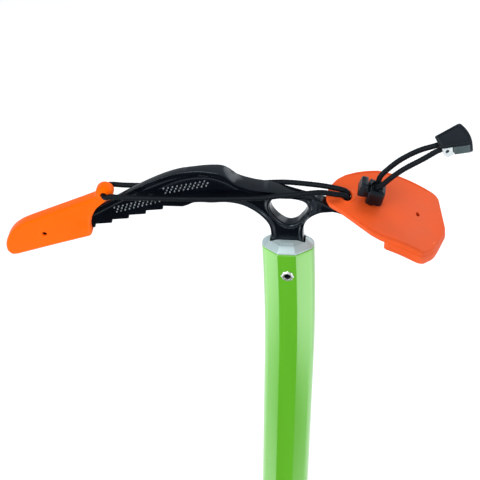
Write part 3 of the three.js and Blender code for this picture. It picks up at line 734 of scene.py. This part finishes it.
def head_marks():
    """Lines of small leaning bars on each side of the head, where the original has its lettering."""
    points, faces = [], []
    far_from_edge = np.array([9.0])
    lean, rise = math.cos(MARK_LEAN), math.sin(MARK_LEAN)
    for centre in mark_centres():
        surface = float(web_half(centre[None, :], far_from_edge)[0])
        for side in (-1, 1):
            first = len(points)
            for height, shrink in ((surface - 0.3, 0), (surface + 0.05, 0), (surface + 0.18, 0.2)):
                wide, long = MARK_WIDTH / 2 - shrink, MARK_LENGTH / 2 - shrink
                for u, v in ((-wide, -long), (wide, -long), (wide, long), (-wide, long)):
                    x = centre[0] + u * lean - v * rise
                    z = centre[1] + u * rise + v * lean
                    points.append(SIDE @ Vector((x, z, side * height)))
            for low in (first, first + 4):
                for k in range(4):
                    after = (k + 1) % 4
                    faces.append([low + k, low + after, low + 4 + after, low + 4 + k])
            faces += [[first + k for k in (3, 2, 1, 0)], [first + k for k in (8, 9, 10, 11)]]
    marks = piece_from("head_marks", points, faces, sharp=30)
    finish_piece(marks, MARK_GREY, "axe", "head", "black_steel")


# ---------- Shaft ----------
def shaft_section(inset, soften=0.5):
    """The shaft's section in plan, drawn inset: two flats, four facets, two rounded sides."""
    radius = SIDE_RADIUS - inset
    flat = HALF_THICKNESS - inset
    corner = SIDE_CENTRE + (radius - flat * math.sin(FACET)) / math.cos(FACET)
    arc = [
        (SIDE_CENTRE + radius * math.cos(a), radius * math.sin(a)) for a in np.linspace(-FACET, FACET, 21)
    ]
    half = arc + [(corner, flat, soften)]
    other = [(-corner, flat, soften)] + [(-x, -y) for x, y in arc] + [(-corner, -flat, soften)]
    return filleted(half + other + [(corner, -flat, soften)])


def bent(point):
    """A point of the straight shaft, in millimetres over its foot, moved to where the bent shaft has it."""
    x, y, z = point
    rise = z - (SHAFT_TOP - BEND_LENGTH)
    if rise <= 0:
        return x, y, z
    angle = rise / BEND_RADIUS
    reach = BEND_RADIUS + x
    return reach * math.cos(angle) - BEND_RADIUS, y, z - rise + reach * math.sin(angle)


def shaft_ring(inset, height):
    return np.array([bent((x, y, height)) for x, y in shaft_section(inset)])


METRES = Matrix.Scale(MM, 4)
WALL = 1.9
SPIKE_TOP = 60
RIVET_DROP = 16.8
RIVET_PLACE = (RIVET_DROP * math.sin(TOP_LEAN), 0, -RIVET_DROP * math.cos(TOP_LEAN))
SPIKE_RIVET_PLACE = (0, 0, 78)
RIVET_BORE = 3.05


def shaft_tube():
    heights = [SPIKE_TOP, SPIKE_TOP + 0.4, *np.linspace(64, SHAFT_TOP - 1, 90), SHAFT_TOP - 0.3, SHAFT_TOP]
    insets = [0.35, 0.05, *[0] * 90, 0.05, 0.3]
    outside = [shaft_ring(inset, height) for inset, height in zip(insets, heights)]
    inside = [shaft_ring(WALL, height) for height in reversed(heights)]
    rings = outside + inside
    tube = loft("shaft", rings + rings[:1], METRES, closed_ends=False)
    combine(tube, "DIFFERENCE", rivet_bore(RIVET_PLACE, 15, PLAN), rivet_bore(SPIKE_RIVET_PLACE, 15, METRES))
    finish_piece(tube, GREEN_ANODISED, "axe", "shaft_tube")


LEANING = Matrix.Translation(HEAD_ORIGIN) @ Matrix.Rotation(-TOP_LEAN, 4, "Y") @ METRES
CHAMFER = 3.7


def end_plug():
    """The machined plug on the shaft's rim: a rounded lip, a wide chamfer, a flat top and a spigot inside."""
    profile = [
        (WALL + 0.3, -11), (WALL + 0.3, 0.3), (0.3, 0.3), (0.05, 0.45), (0, 0.75), (0.12, 1.05), (0.4, 1.4),
        (CHAMFER - 0.35, CHAMFER + 0.45), (CHAMFER, CHAMFER + 0.65), (CHAMFER + 0.5, CHAMFER + 0.8),
        (CHAMFER + 1.5, CHAMFER + 1.5), (CHAMFER + 2.5, CHAMFER + 1.9),
    ]
    rings = [np.array([(x, y, z) for x, y in shaft_section(inset, 0.35)]) for inset, z in profile]
    plug = loft("shaft_collar_cap", rings, LEANING, sharp=24)
    slot = block("slot", (-10.7, -3.1, -20), (10.7, 3.1, 20), LEANING)
    combine(plug, "DIFFERENCE", slot, sharp=24)
    finish_piece(plug, BARE_ALUMINIUM, "axe", "shaft_collar")


def tubular_rivet(name, place, node):
    """A tube through the shaft whose ends are split into a star and rolled over the flats, with a black
    sleeve inside as painted shade.
    """
    reach = HALF_THICKNESS
    flare = [(2.0, 0.75), (2.25, 1.1), (2.75, 1.1), (3.4, 0.75), (3.75, 0.35), (3.75, 0.12), (2.9, 0.08)]
    top = [(r, reach + h) for r, h in flare]
    profile = [(1.95, 0.0)] + top + [(r, -h) for r, h in reversed(top)]

    def star(turn, radius):
        outer = max(0.0, radius - 2.6) / 1.15
        return radius * (1 + 0.07 * outer * math.cos(8 * turn))

    across = place @ Matrix.Rotation(math.pi / 2, 4, "X")
    rivet = lathe(name, profile, across, 96, star)
    finish_piece(rivet, RIVET_STEEL, "axe", node)
    # a black sleeve inside the tube: painted shade, as the rivet's inside lies in shade
    shade_lining = [(1.6, reach + 0.5), (1.93, reach + 0.5), (1.93, -reach - 0.5), (1.6, -reach - 0.5)]
    bore = lathe(name + "_bore", shade_lining, across, 40)
    finish_piece(bore, BLACK_STEEL, "axe", node, "rivet_steel")


SPIKE_LENGTH = 59.7
SPIKE_LIP = 58.6  # height where the ferrule's top edge starts to round in
SPIKE_TIP = 1.2  # half-width of the point's end
SPIKE_SECTION = (15.65, 10.45)  # half-widths of the shaft's section that the ferrule starts from
SPIKE_SWELL = (14.4, 9.2)  # growth of the half-widths from the point's end to the ferrule's top


def spike_point():
    """The ferrule and point below the shaft, with the tang that holds it in the tube."""
    rings = []
    for height in (*np.linspace(0, 56, 40), SPIKE_LIP, 59.4, SPIKE_LENGTH):
        share = height / SPIKE_LENGTH
        swell = math.sin(share * math.pi / 2)
        side = SPIKE_TIP + SPIKE_SWELL[0] * swell**0.85
        front = SPIKE_TIP + SPIKE_SWELL[1] * swell**0.8
        lip = 0.35 * smooth(height, SPIKE_LIP, SPIKE_LENGTH)
        square = 1 - smooth(share, 0.0, 0.5)
        section = []
        for x, y in shaft_section(0.3):
            across, along = x / SPIKE_SECTION[0], y / SPIKE_SECTION[1]
            reach = max(abs(across), abs(along))
            round_in = 1 + square * (0.9 / reach - 1) * 0.5
            wide, deep = side * round_in * (1 - lip / 15), front * round_in * (1 - lip / 10)
            section.append((across * wide, along * deep, height))
        rings.append(section)
    point = loft("spike_point", rings, METRES, sharp=30)
    tang = block("tang", (-8, -2.8, 50), (8, 2.8, 94), METRES, bevel=0.4)
    combine(point, "UNION", tang)
    combine(point, "DIFFERENCE", rivet_bore(SPIKE_RIVET_PLACE, 9, METRES))
    finish_piece(point, BLACK_STEEL, "axe", "spike")


# ---------- Pick guard ----------
KNOB = np.array([-110.7, 30])  # middle of the knob that the cord runs through
SHEATH_HALF = 4.5


def pick_sheath():
    """The pick guard: a soft-edged pocket that ends in a hollowed mouth and a round cord knob."""
    outline = stretches(
        [(-168, -24), (-145, -14), (-123.5, -4.9)],
        [
            (-123.5, -4.9), (-120.6, -3.2), (-119.6, 1), (-119.7, 7), (-118.8, 12), (-115.8, 18.5),
            (-109.5, 25.4),
        ],
        [(-109.5, 25.4), (-107.3, 28), (-111, 34), (-117.5, 26.6)],
        [(-117.5, 26.6), (-121, 24.6), (-158, 4.3)],
        [
            (-158, 4.3), (-164.5, 0.2), (-170, -5), (-173.6, -11), (-175.2, -17), (-174.6, -22.2),
            (-172, -24.6), (-168, -24),
        ],
    )

    def half(points, depth):
        mouth = distance_to(points, [(-119.7, 0), (-119.7, 7), (-118.8, 12), (-115.8, 18.5), (-109, 25.8)])
        lip = 0.6 * bump(mouth - 1.1, 1.1)
        crown = 0.3 * smooth(depth, 2, 9)
        swell = 0.5 * np.exp(-((points[:, 0] + 122) ** 2 + (points[:, 1] - 1) ** 2) / 14)
        return SHEATH_HALF - 0.3 + crown + lip + swell - round_off(depth, 1.5)

    rows = (0.15, 0.35, 0.65, 1.0, 1.45, 2.0, 2.8)
    sheath = slab("pick_sheath", [outline], half, opposite(half), SIDE, spacing=1.6, rows=rows)
    radius, reach = 5.3, SHEATH_HALF + 0.1
    dome = [(radius - 3 + 3 * math.cos(a), reach - 3 + 3 * math.sin(a)) for a in np.linspace(1.35, 0, 9)]
    profile = [(1.7, reach - 1), (1.95, reach - 0.35), (2.3, reach - 0.05)] + dome
    profile = profile + [(r, -h) for r, h in reversed(profile)]
    knob = lathe("knob", profile, SIDE @ Matrix.Translation((*KNOB, 0)), 56)
    combine(sheath, "DIFFERENCE", peg("bore", 2.2, (*KNOB, -9), (*KNOB, 9), SIDE))
    combine(sheath, "UNION", knob)
    cavity = filleted([
        (-100, 33), (-140, 4.5), (-155, -5), (-161, -10.5, 1), (-160.5, -16.5, 1), (-156, -15.8), (-100, 9),
    ])
    inside = 3.1  # half the pocket's width
    hollow = slab("hollow", [cavity], level(inside), level(-inside), SIDE, spacing=6, rows=(1,))
    vent = peg("vent", 1.6, (-149.5, -4.6, -9), (-149.5, -4.6, 9), SIDE, 24)
    combine(sheath, "DIFFERENCE", hollow, vent)
    finish_piece(sheath, ORANGE_PLASTIC, "pick_guard", "pick_guard")


# ---------- Adze guard ----------
FLAP_TOP = 96
FLAP_UNDER = 92.8
POCKET_OUTSIDE = 87.5
POCKET_FLOOR = 89.3
FLAP_TIP = (93, 3.5)
FLAP_HALF = 30
MOUTH_X = 58.2
THROUGH_X = 33.8
LOCK_HOLE_X = 47.6
FLAP_NEAR = [
    (21.3, 2.5, 2), (21.3, -2, 3), (24, -8, 2), (30.5, -12.8), (36.6, -18), (42.7, -22.9), (48.8, -27.3),
    (55, -30, 2), (59, -FLAP_HALF),
]
FLAP_FAR = [
    (58, 29.4), (50, 28.6), (43, 25.8), (37, 23), (31, 19.4), (26.5, 15, 1.5), (23.2, 9, 2),
]


def flap_end(grow):
    """The outer end of the guard in plan, shared by the flap and its pocket."""
    return [
        (79.5, -FLAP_HALF - grow, 4), (86.4, -19.6 - grow, 4), (FLAP_TIP[0] + grow, FLAP_TIP[1], 3),
        (87.4, 29 + grow, 4),
    ]


def adze_flap():
    """The adze guard: a curved sheet with a beaded edge, rimmed cord holes and a pocket underneath."""
    holes = [ellipse(THROUGH_X, 0, 2.4, 4.3), ellipse(LOCK_HOLE_X, 0, 2.4, 4.3)]
    end = flap_end(0)
    near_side = [corner[:2] for corner in FLAP_NEAR + end[:1]]
    far_side = [corner[:2] for corner in end[-1:] + FLAP_FAR]

    def upper(points, depth):
        x, y = points[:, 0], points[:, 1]
        side = np.minimum(distance_to(points, near_side), distance_to(points, far_side))
        groove = 0.45 * bump(side - 1.7, 0.65) * smooth(x, 28, 36) * (1 - smooth(x, 80, 85))
        rim = 0.55 * bump(np.linalg.norm((points - (THROUGH_X, 0)) / (1, 1.35), axis=1) - 3.9, 1.5)
        sink = 0.5 * np.exp(-((x - 62) ** 2 + (y + 4) ** 2) / 300)
        return arc_height(x, FLAP_TOP) - groove + rim - sink - round_off(depth, 0.7)

    def lower(points, depth):
        return arc_height(points[:, 0], FLAP_UNDER) + round_off(depth, 0.8)

    outline = filleted(FLAP_NEAR + end + FLAP_FAR)
    rows = (0.12, 0.3, 0.55, 0.85, 1.15, 1.45, 1.7, 1.95, 2.3, 2.9)
    flap = slab("adze_flap", [outline] + holes, upper, lower, PLAN, spacing=1.5, rows=rows, sharp=44)
    step = 0.35  # how far the pocket stands out past the flap
    shelf = filleted([(MOUTH_X - 1, -FLAP_HALF - step), *flap_end(step), (MOUTH_X - 1, 29 + step)])

    def shelf_upper(points, depth):
        return arc_height(points[:, 0], FLAP_UNDER + 0.9) - round_off(depth, 0.6)

    def shelf_lower(points, depth):
        x = points[:, 0]
        taper = 1.5 * smooth(x, 70, FLAP_TIP[0]) + 2.0 * smooth(x, 88.5, FLAP_TIP[0])
        return arc_height(x, POCKET_OUTSIDE + taper) + round_off(depth, 1.8)

    pocket = slab("pocket", [shelf], shelf_upper, shelf_lower, PLAN, spacing=1.8)
    combine(flap, "UNION", pocket, sharp=44)
    inside = mirrored([
        (MOUTH_X - 8, 26), (77.8, 26, 2), (81.8, 23.6, 1.5), (85.8, 15.9, 2), (FLAP_TIP[0] - 3, 2),
    ])

    def floor(points, depth):
        x = points[:, 0]
        return arc_height(x, POCKET_FLOOR + 0.8 * smooth(x, 78, 89))

    def ceiling(points, depth):
        return arc_height(points[:, 0], FLAP_UNDER - 0.02)

    hollow = slab("hollow", [inside], ceiling, floor, PLAN, spacing=2.4, rows=(1,))
    vent_outline = [ellipse(75.5, 2.4, 1.15, 1.9, 24)]
    vent = slab("vent", vent_outline, level(45), level(25), PLAN, rows=(0.3,))
    combine(flap, "DIFFERENCE", hollow, vent, sharp=44)
    finish_piece(flap, ORANGE_RUBBER, "adze_guard", "adze_guard")


# ---------- Cord lock ----------
LOCK_HEIGHT = 8.8
LOCK_MID = 0.5 + LOCK_HEIGHT / 2
STEM = (4.6, 2.3)
PAD_END = -6.4  # the pad's inner face, the button's travel away from the body
PAD_THICKNESS = 3.6
PAD_RAISE = 1.4


def lock_body():
    """The lock's barrel: chamfered, with a rimmed slot for the two strands and a ridge beside the button."""
    outline = filleted([(-4.6, -6.5, 1.6), (5.6, -6.5, 3.2), (5.6, 6.5, 3.2), (-4.6, 6.5, 1.6)])
    slot = ellipse(LOCK_CORD_X + 0.5, 0, 2.5, 3.9)
    middle = (LOCK_CORD_X + 0.5, 0)

    def upper(points, depth):
        ridge = 0.5 * bump(points[:, 0] + 3.4, 0.7)
        rim = 0.5 * bump(np.linalg.norm((points - middle) / (1, 1.35), axis=1) - 3.2, 0.8)
        fall = 1.2 * (1 - smooth(depth, 0, 2.2))
        return LOCK_HEIGHT + 0.5 + ridge + rim - fall - round_off(depth, 0.6)

    def lower(points, depth):
        return 0.7 * (1 - smooth(depth, 0, 2.2)) - 1.3 + round_off(depth, 0.5)

    rows = (0.1, 0.25, 0.45, 0.7, 1.1, 1.6, 2.1)
    body = slab("cord_lock_barrel", [outline, slot], upper, lower, LOCK, spacing=0.6, rows=rows)
    half, height = STEM
    half, height = half + 0.3, height + 0.3  # room round the stem
    cavity = block("cavity", (-6, -half, LOCK_MID - height), (5, half, LOCK_MID + height), LOCK)
    combine(body, "DIFFERENCE", cavity)
    finish_piece(body, BLACK_PLASTIC, "cord_lock", "cord_lock_body")


def lock_button():
    """The button: a tall ribbed thumb pad on a flat stem with a window for the strands."""
    centre = Matrix.Translation((PAD_END, 0, LOCK_MID + PAD_RAISE))
    pad_place = LOCK @ centre @ Matrix.Rotation(math.pi / 2, 4, "Y")
    outline = filleted([(-4.9, -4.8, 2.2), (3.8, -6, 2.2), (3.8, 6, 2.2), (-4.9, 4.8, 2.2)])

    def outer(points, depth):
        ribs = 0.15 * np.cos(points[:, 0] * 2 * math.pi / 1.7) * smooth(depth, 1.1, 1.8)
        lean = 0.1 * points[:, 0]
        return -PAD_THICKNESS + 0.2 - 0.4 * smooth(depth, 0.5, 4) - lean + ribs + round_off(depth, 0.8)

    def inner(points, depth):
        beak = 0.9 * smooth(-points[:, 0], 3.4, 4.1)  # leans over the body's top edge
        return beak - round_off(depth, 0.4)

    rows = (0.1, 0.25, 0.45, 0.7, 1.0, 1.4)
    pad = slab("cord_lock_pad", [outline], inner, outer, pad_place, spacing=0.6, rows=rows)
    half, height = STEM
    low, high = (PAD_END - 0.6, -half, LOCK_MID - height), (2.4, half, LOCK_MID + height)
    stem = block("stem", low, high, LOCK, bevel=0.3)
    window = block("window", (-4.0, -4.0, -5), (1.6, 4.0, 20), LOCK)
    combine(stem, "DIFFERENCE", window)
    combine(pad, "UNION", stem)
    finish_piece(pad, BLACK_PLASTIC, "cord_lock_button", "cord_lock_button")


# ---------- Pull tab ----------
TAB_ENTRY, TAB_OUTER = 5.6, 10
TAB_SPLIT = 6.4
TAB_TOP = 3.8
TAB_BOTTOM = -3.1
TAB_CORD_Z = -0.4
TAB_GAP = 0.1
TAB_PARTING = 3.0  # height of the visible line between the shell and the halves under it
TAB_RIM = 1.5
TAB_NOSE = (3.5, 3.4)  # half-width and rounding of the middle of the outer end


def tab_half(x):
    return TAB_ENTRY + (TAB_OUTER - TAB_ENTRY) * x / TAB_LENGTH


def tab_outline(start, inset=0.0, corner_in=1.0, corner_out=2.2):
    end = TAB_LENGTH - inset
    return mirrored([
        (start + inset, tab_half(start) - inset, corner_in), (end, tab_half(end) - inset, corner_out),
        (end + TAB_BULGE, *TAB_NOSE),
    ])


def tab_shell():
    """The tab's upper half: a glossy rim round a grained panel. The rim's darker black plastic is painted
    shade on its rounding, and the panel's lighter slate is the painted lit face of the same plastic.
    """
    opening = tab_outline(0, TAB_RIM, 0.8, 1.4)

    def upper(points, depth):
        return TAB_TOP - round_off(depth, 0.6)

    base = TAB_PARTING + TAB_GAP
    rows = (0.1, 0.22, 0.4, 0.6)
    rim = slab("pull_tab_rim", [tab_outline(0), opening], upper, level(base), TAB, 0.8, rows)
    # near-black here is painted shade on the rim's rounding
    finish_piece(rim, BLACK_PLASTIC, "pull_tab", "pull_tab_shell")
    inside = tab_outline(0, TAB_RIM - 0.02, 0.8, 1.4)

    def panel_top(points, depth):
        return TAB_TOP - 0.4 + 0.25 * smooth(depth, 0, 4)

    panel = slab("pull_tab_panel", [inside], panel_top, level(base), TAB, 0.8, rows)
    # lighter slate here is painted light on the flat face
    finish_piece(panel, LIT_SLATE_PLASTIC, "pull_tab", "pull_tab_shell")


def tab_clip():
    """The tab's hinged lower half: a shallow box with a darker cap round its outer end."""
    cap_start = 15.7
    body = mirrored([
        (TAB_SPLIT + 0.3, tab_half(TAB_SPLIT), 0.5), (cap_start - 0.1, tab_half(cap_start), 0.5),
    ])
    cap = mirrored([
        (cap_start, tab_half(cap_start), 0.3), (TAB_LENGTH, TAB_OUTER, 2.2),
        (TAB_LENGTH + TAB_BULGE, *TAB_NOSE),
    ])

    def lower(points, depth):
        return TAB_BOTTOM + round_off(depth, 0.9)

    def upper(points, depth):
        return TAB_PARTING - TAB_GAP - round_off(depth, 0.25)

    clip = slab("pull_tab_latch", [body], upper, lower, TAB, spacing=0.8)
    hollow = block("hollow", (TAB_SPLIT + 0.2, -5.6, TAB_BOTTOM + 0.6), (13, 5.6, TAB_PARTING + 1), TAB)
    combine(clip, "DIFFERENCE", hollow)
    finish_piece(clip, GREY_PLASTIC, "pull_tab_clip", "pull_tab_clip")
    end = slab("pull_tab_end", [cap], upper, lower, TAB, spacing=0.8)
    finish_piece(end, BLACK_PLASTIC, "pull_tab_clip", "pull_tab_clip", "grey_plastic")


PINHOLE = (2.9, 0.8)  # its middle in the insert's side
INSERT_HALF = 6.7


def tab_insert():
    """The white insert that both strands run through, with a pinhole in its near side whose dark bottom is a
    black disc of painted shade.
    """
    profile = filleted([
        (0.9, TAB_PARTING - TAB_GAP, 0.5), (0.9, -1.6, 1.2), (2.1, -3.8, 1.2), (TAB_SPLIT, -3.3, 0.4),
        (TAB_SPLIT, TAB_PARTING - TAB_GAP, 0.4),
    ])
    upright = TAB @ Matrix.Rotation(math.pi / 2, 4, "X")

    def half(points, depth):
        return INSERT_HALF - round_off(depth, 0.6)

    insert = slab("pull_tab_core", [profile], half, opposite(half), upright, spacing=0.8)
    channels = [
        peg("channel", 1.75, (-4, side * 2.2, TAB_CORD_Z), (8, side * 2.2, TAB_CORD_Z), TAB, 24)
        for side in (-1, 1)
    ]
    x, z = PINHOLE
    pinhole = peg("pinhole", 1.2, (x, -9, z), (x, -2, z), TAB, 24)
    combine(insert, "DIFFERENCE", pinhole, *channels)
    # a black disc down the pinhole: painted shade, where the hole's inside lies in shade
    floor = peg("pull_tab_pinhole_shade", 1.18, (x, 0.35 - INSERT_HALF, z), (x, -4.2, z), TAB, 24)
    finish_piece(floor, BLACK_PLASTIC, "pull_tab", "pull_tab_insert")
    finish_piece(insert, WHITE_PLASTIC, "pull_tab", "pull_tab_insert")


# ---------- Shock cord ----------
PAIR_Y = 2
STRAND_Y = 6.5
CARRIERS = 8  # yarns that run each way round the sheath
BRAID_PITCH = 9.0  # millimetres along the cord for one turn of a yarn


def place_point(place, x, y, z):
    return np.array(PLAN.inverted() @ (place @ Vector((x, y, z))))


def on_bend(degrees, radius, y):
    angle = math.radians(degrees)
    return np.array([bend.x + radius * math.sin(angle), y, bend.z + radius * math.cos(angle)])


def strand_path(side):
    """Waypoints of one strand from the tab to the knob's bore, in the head's frame; side -1 is near."""
    y = side * PAIR_Y
    under = (FLAP_UNDER + ADZE_TOP) / 2
    through = math.degrees(math.asin((THROUGH_X - bend.x) / FLAP_TOP))
    lock_lean = math.degrees(math.asin(-lock_x.z)) + math.degrees(LOCK_CORD_X / FLAP_TOP)

    def point(x, outward, z):
        return np.array([x, side * outward, z])

    def tail(x, outward, z):
        return point(x - side * 0.9, outward, z + side * 0.9)

    def drawn(x, outward, z, above):
        return point(x, outward, z - side * above)

    knob_x, knob_z = KNOB
    return {
        "tab": [
            place_point(TAB, 8.6, y + side * 0.4, TAB_CORD_Z),
            place_point(TAB, 4, y + side * 0.2, TAB_CORD_Z),
        ],
        "tail": [
            place_point(TAB, -1, y + side * 0.3, TAB_CORD_Z), tail(74, 2.9, 75.9), tail(64, 3.3, 68),
            tail(57, 3, 60.4), tail(52.8, 2.4, 54.6),
            place_point(LOCK, LOCK_CORD_X + 0.7, y, LOCK_EXIT),
        ],
        "under": [
            place_point(LOCK, LOCK_CORD_X, y, 3), place_point(LOCK, LOCK_CORD_X, y, -3.4),
            on_bend(lock_lean - 0.25, under + 1.9, y), on_bend(lock_lean - 1.4, under + 0.1, y),
            on_bend(lock_lean - 2.6, under, y), on_bend((lock_lean + through) / 2, under, y),
            on_bend(through + 2.6, under, y), on_bend(through + 1.4, under + 0.1, y),
            on_bend(through + 0.25, under + 1.9, y), on_bend(through, FLAP_UNDER + 2.2, y),
            point(THROUGH_X - 0.7, 2.1, 42.5), point(THROUGH_X - 2.6, 2.3, 43.4), drawn(27, 3.1, 44, 0.3),
        ],
        "back": [
            drawn(19, 4.3, 44.8, 1), drawn(8, 5.8, 44, 0.9), drawn(-3, 6.5, 42.8, 0.3), point(-15, 6.9, 40.6),
            point(-34, STRAND_Y, 37.6),
        ],
        "front": [drawn(-60, STRAND_Y, 34.4, 0.4), drawn(-100, STRAND_Y, 31, 0.6)],
        "loop": [
            drawn(knob_x + 4.4, STRAND_Y, knob_z + 0.9, 0.6),
            point(knob_x + 1.4, STRAND_Y - 0.3, knob_z + 0.1),
            point(knob_x + 0.3, STRAND_Y - 1.5, knob_z), point(knob_x, STRAND_Y - 3.2, knob_z),
            point(knob_x, 0, knob_z),
        ],
    }


def braid(turn, run):
    """Relief of the sheath, 0 to 1: yarns that spiral both ways and pass over each other."""
    phase = 2 * math.pi * run / BRAID_PITCH
    right = np.cos(CARRIERS * (turn + phase / 2))
    left = np.cos(CARRIERS * (turn - phase / 2))
    return np.maximum(right, left) * 0.5 + 0.25 * np.abs(right * left)


def sweep(name, path, run, radius, count, relief=0.0):
    """A closed tube along a path with the sheath's relief; run is each point's length along the cord."""
    along = np.gradient(path, axis=0)
    along /= np.linalg.norm(along, axis=1)[:, None]
    side = np.cross(along[0], (0.0, 0.0, 1.0))
    rings = []
    for centre, ahead, length in zip(path, along, run):
        side = side - ahead * (side @ ahead)
        side /= np.linalg.norm(side)
        up = np.cross(ahead, side)
        turn = np.array(turns(count))
        reach = radius + relief * (braid(turn, length) - 0.7)
        rings.append(centre + np.outer(reach * np.cos(turn), side) + np.outer(reach * np.sin(turn), up))
    return loft(name, rings, PLAN, sharp=70)


def overhand_knot(name, y):
    """A tight knot of cord inside the pull tab."""
    turn = np.linspace(0, 2 * math.pi, 61)
    shape = np.column_stack([
        np.sin(turn) + 2 * np.sin(2 * turn), np.cos(turn) - 2 * np.cos(2 * turn), -np.sin(3 * turn),
    ])
    local = shape * (0.42, 0.42, 0.75) + (10.2, y, TAB_CORD_Z)
    path = np.array([place_point(TAB, *p) for p in local])
    knot = sweep(name, path, np.arange(len(path)) * 0.4, 0.82, 12)
    finish_piece(knot, BLACK_CORD, "pull_tab", "shock_cord")


CORD_RIDES = {
    "tab": ("pull_tab",), "tail": ("pull_tab", "adze_guard"), "under": ("adze_guard",),
    "back": ("adze_guard", "axe"), "front": ("axe", "pick_guard"), "loop": ("pick_guard",),
}


def shock_cord():
    """Both strands, cut into lengths where the body they ride on changes."""
    for side, end in ((-1, "near"), (1, "far")):
        path = strand_path(side)
        waypoints = [p for run in path.values() for p in run]
        whole = curve(waypoints, 0.55)
        run = np.concatenate([[0], np.cumsum(np.linalg.norm(np.diff(whole, axis=0), axis=1))])
        ends = [points[-1] for points in path.values()]
        marks = [0] + [int(np.argmin(np.linalg.norm(whole - last, axis=1))) for last in ends]
        for (part, bodies), start, stop in zip(CORD_RIDES.items(), marks, marks[1:]):
            cut = slice(start, stop + 1)
            length = sweep(f"cord_{part}_{end}", whole[cut], run[cut], CORD_RADIUS + 0.12, 32, 0.22)
            finish_piece(length, BLACK_CORD, None, "shock_cord")
            if len(bodies) == 1:
                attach(length, bodies[0])
            else:
                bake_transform(length)
        overhand_knot(f"cord_knot_{end}", side * 2.9)


# ---------- CAD nodes that stay as they are ----------
def repaint_cad_nodes():
    looks = {"tang_filler": FILLER_PLASTIC, "spike_filler": FILLER_PLASTIC, "cord_lock_spring": SPRING_STEEL}
    for name, node in frame["nodes"].items():
        for start, material in looks.items():
            if name.startswith(start):
                node.data.materials.clear()
                node.data.materials.append(material)


# ---------- Stage ----------
def aim(made, place, direction, front="-Z"):
    """Puts a light, card or camera in its place with its front along a direction."""
    made.location = place
    made.rotation_mode = "QUATERNION"
    made.rotation_quaternion = Vector(direction).to_track_quat(front, "Y")


def softbox(name, place, target, size, power):
    light = bpy.data.lights.new(name, "AREA")
    light.shape = "RECTANGLE"
    light.size, light.size_y = size
    light.energy = power
    made = linked(name, light)
    aim(made, place, target - place)
    made.visible_camera = False
    return made


def card(name, centre, size, colour):
    """A flat matt card that faces up."""
    wide, high = size
    corners = [(-wide, -high, 0), (wide, -high, 0), (wide, high, 0), (-wide, high, 0)]
    mesh = bpy.data.meshes.new(name)
    mesh.from_pydata([(x / 2, y / 2, z) for x, y, z in corners], [], [(0, 1, 2, 3)])
    made = linked(name, mesh)
    aim(made, centre, Z, front="Z")
    made.data.materials.append(look(name, colour, 0.9, mottle=0.0))
    return made


def studio():
    """A pale floor, an even sky, soft boxes, and a dark card that only reflections see."""
    scene = bpy.context.scene
    scene.view_settings.view_transform = "Standard"
    floor = card("floor", (0, 0, -0.0005), (8, 8), (0.93, 0.93, 0.93))
    glow = nodes_of(floor.data.materials[0])[1]["Principled BSDF"]
    set_inputs(glow, Emission_Color=(1, 1, 1, 1), Emission_Strength=0.16)
    flag = card("flag", (-0.1, -0.48, 0.002), (0.8, 0.8), (0.004, 0.004, 0.005))
    flag.visible_camera = False
    flag.visible_shadow = False
    flag.visible_diffuse = False
    world = bpy.data.worlds.new("studio")
    world.use_nodes = True
    sky = world.node_tree.nodes["Background"]
    set_inputs(sky, Color=(0.92, 0.96, 1.0, 1), Strength=0.6)
    scene.world = world
    middle = HEAD_ORIGIN
    softbox("key", middle + Vector((-0.6, -0.9, 0.9)), middle, (0.7, 0.7), 10)
    top = softbox("top", middle + Vector((0.1, 0.8, 1.0)), middle, (0.9, 0.6), 6)
    top.visible_glossy = False
    softbox("rim", middle + Vector((0.65, 0.8, 0.37)), middle, (0.8, 0.5), 2.2)
    for side in (-1, 1):
        strip = middle + Vector((side * 0.75, -0.8, 0.2))
        softbox("strip", strip, middle, (0.12, 0.3), 1.6)
        low = Vector((side * 0.42, -0.1, 0.08))
        softbox("low_side", low, middle + Vector((0, 0, -0.1)), (0.3, 0.3), 0.4)


VIEW_DISTANCE = 0.9
VIEW_SHIFT = (-0.02917, 0.00211)  # across and up from the head, to frame it as the photo does
LENS = 111.75


def camera():
    """The photograph's view: a long lens, a little to the right and looking well down."""
    azimuth, elevation = math.radians(7), math.radians(42)
    level_back = Vector((math.sin(azimuth), -math.cos(azimuth), 0))
    back = level_back * math.cos(elevation) + Z * math.sin(elevation)
    right = Z.cross(back).normalized()
    up = back.cross(right)
    data = bpy.data.cameras.new("camera")
    data.lens = LENS
    made = linked("camera", data)
    across, above = VIEW_SHIFT
    aim(made, HEAD_ORIGIN + back * VIEW_DISTANCE + right * across + up * above, -back)
    bpy.context.scene.camera = made


# ---------- The axe ----------
forged_head()
head_marks()
shaft_tube()
end_plug()
tubular_rivet("head_rivet_star", PLAN @ Matrix.Translation(RIVET_PLACE), "head_rivet")
tubular_rivet("spike_rivet_star", METRES @ Matrix.Translation(SPIKE_RIVET_PLACE), "spike_rivet")
spike_point()
pick_sheath()
adze_flap()
lock_body()
lock_button()
tab_shell()
tab_clip()
tab_insert()
shock_cord()
repaint_cad_nodes()
studio()
camera()
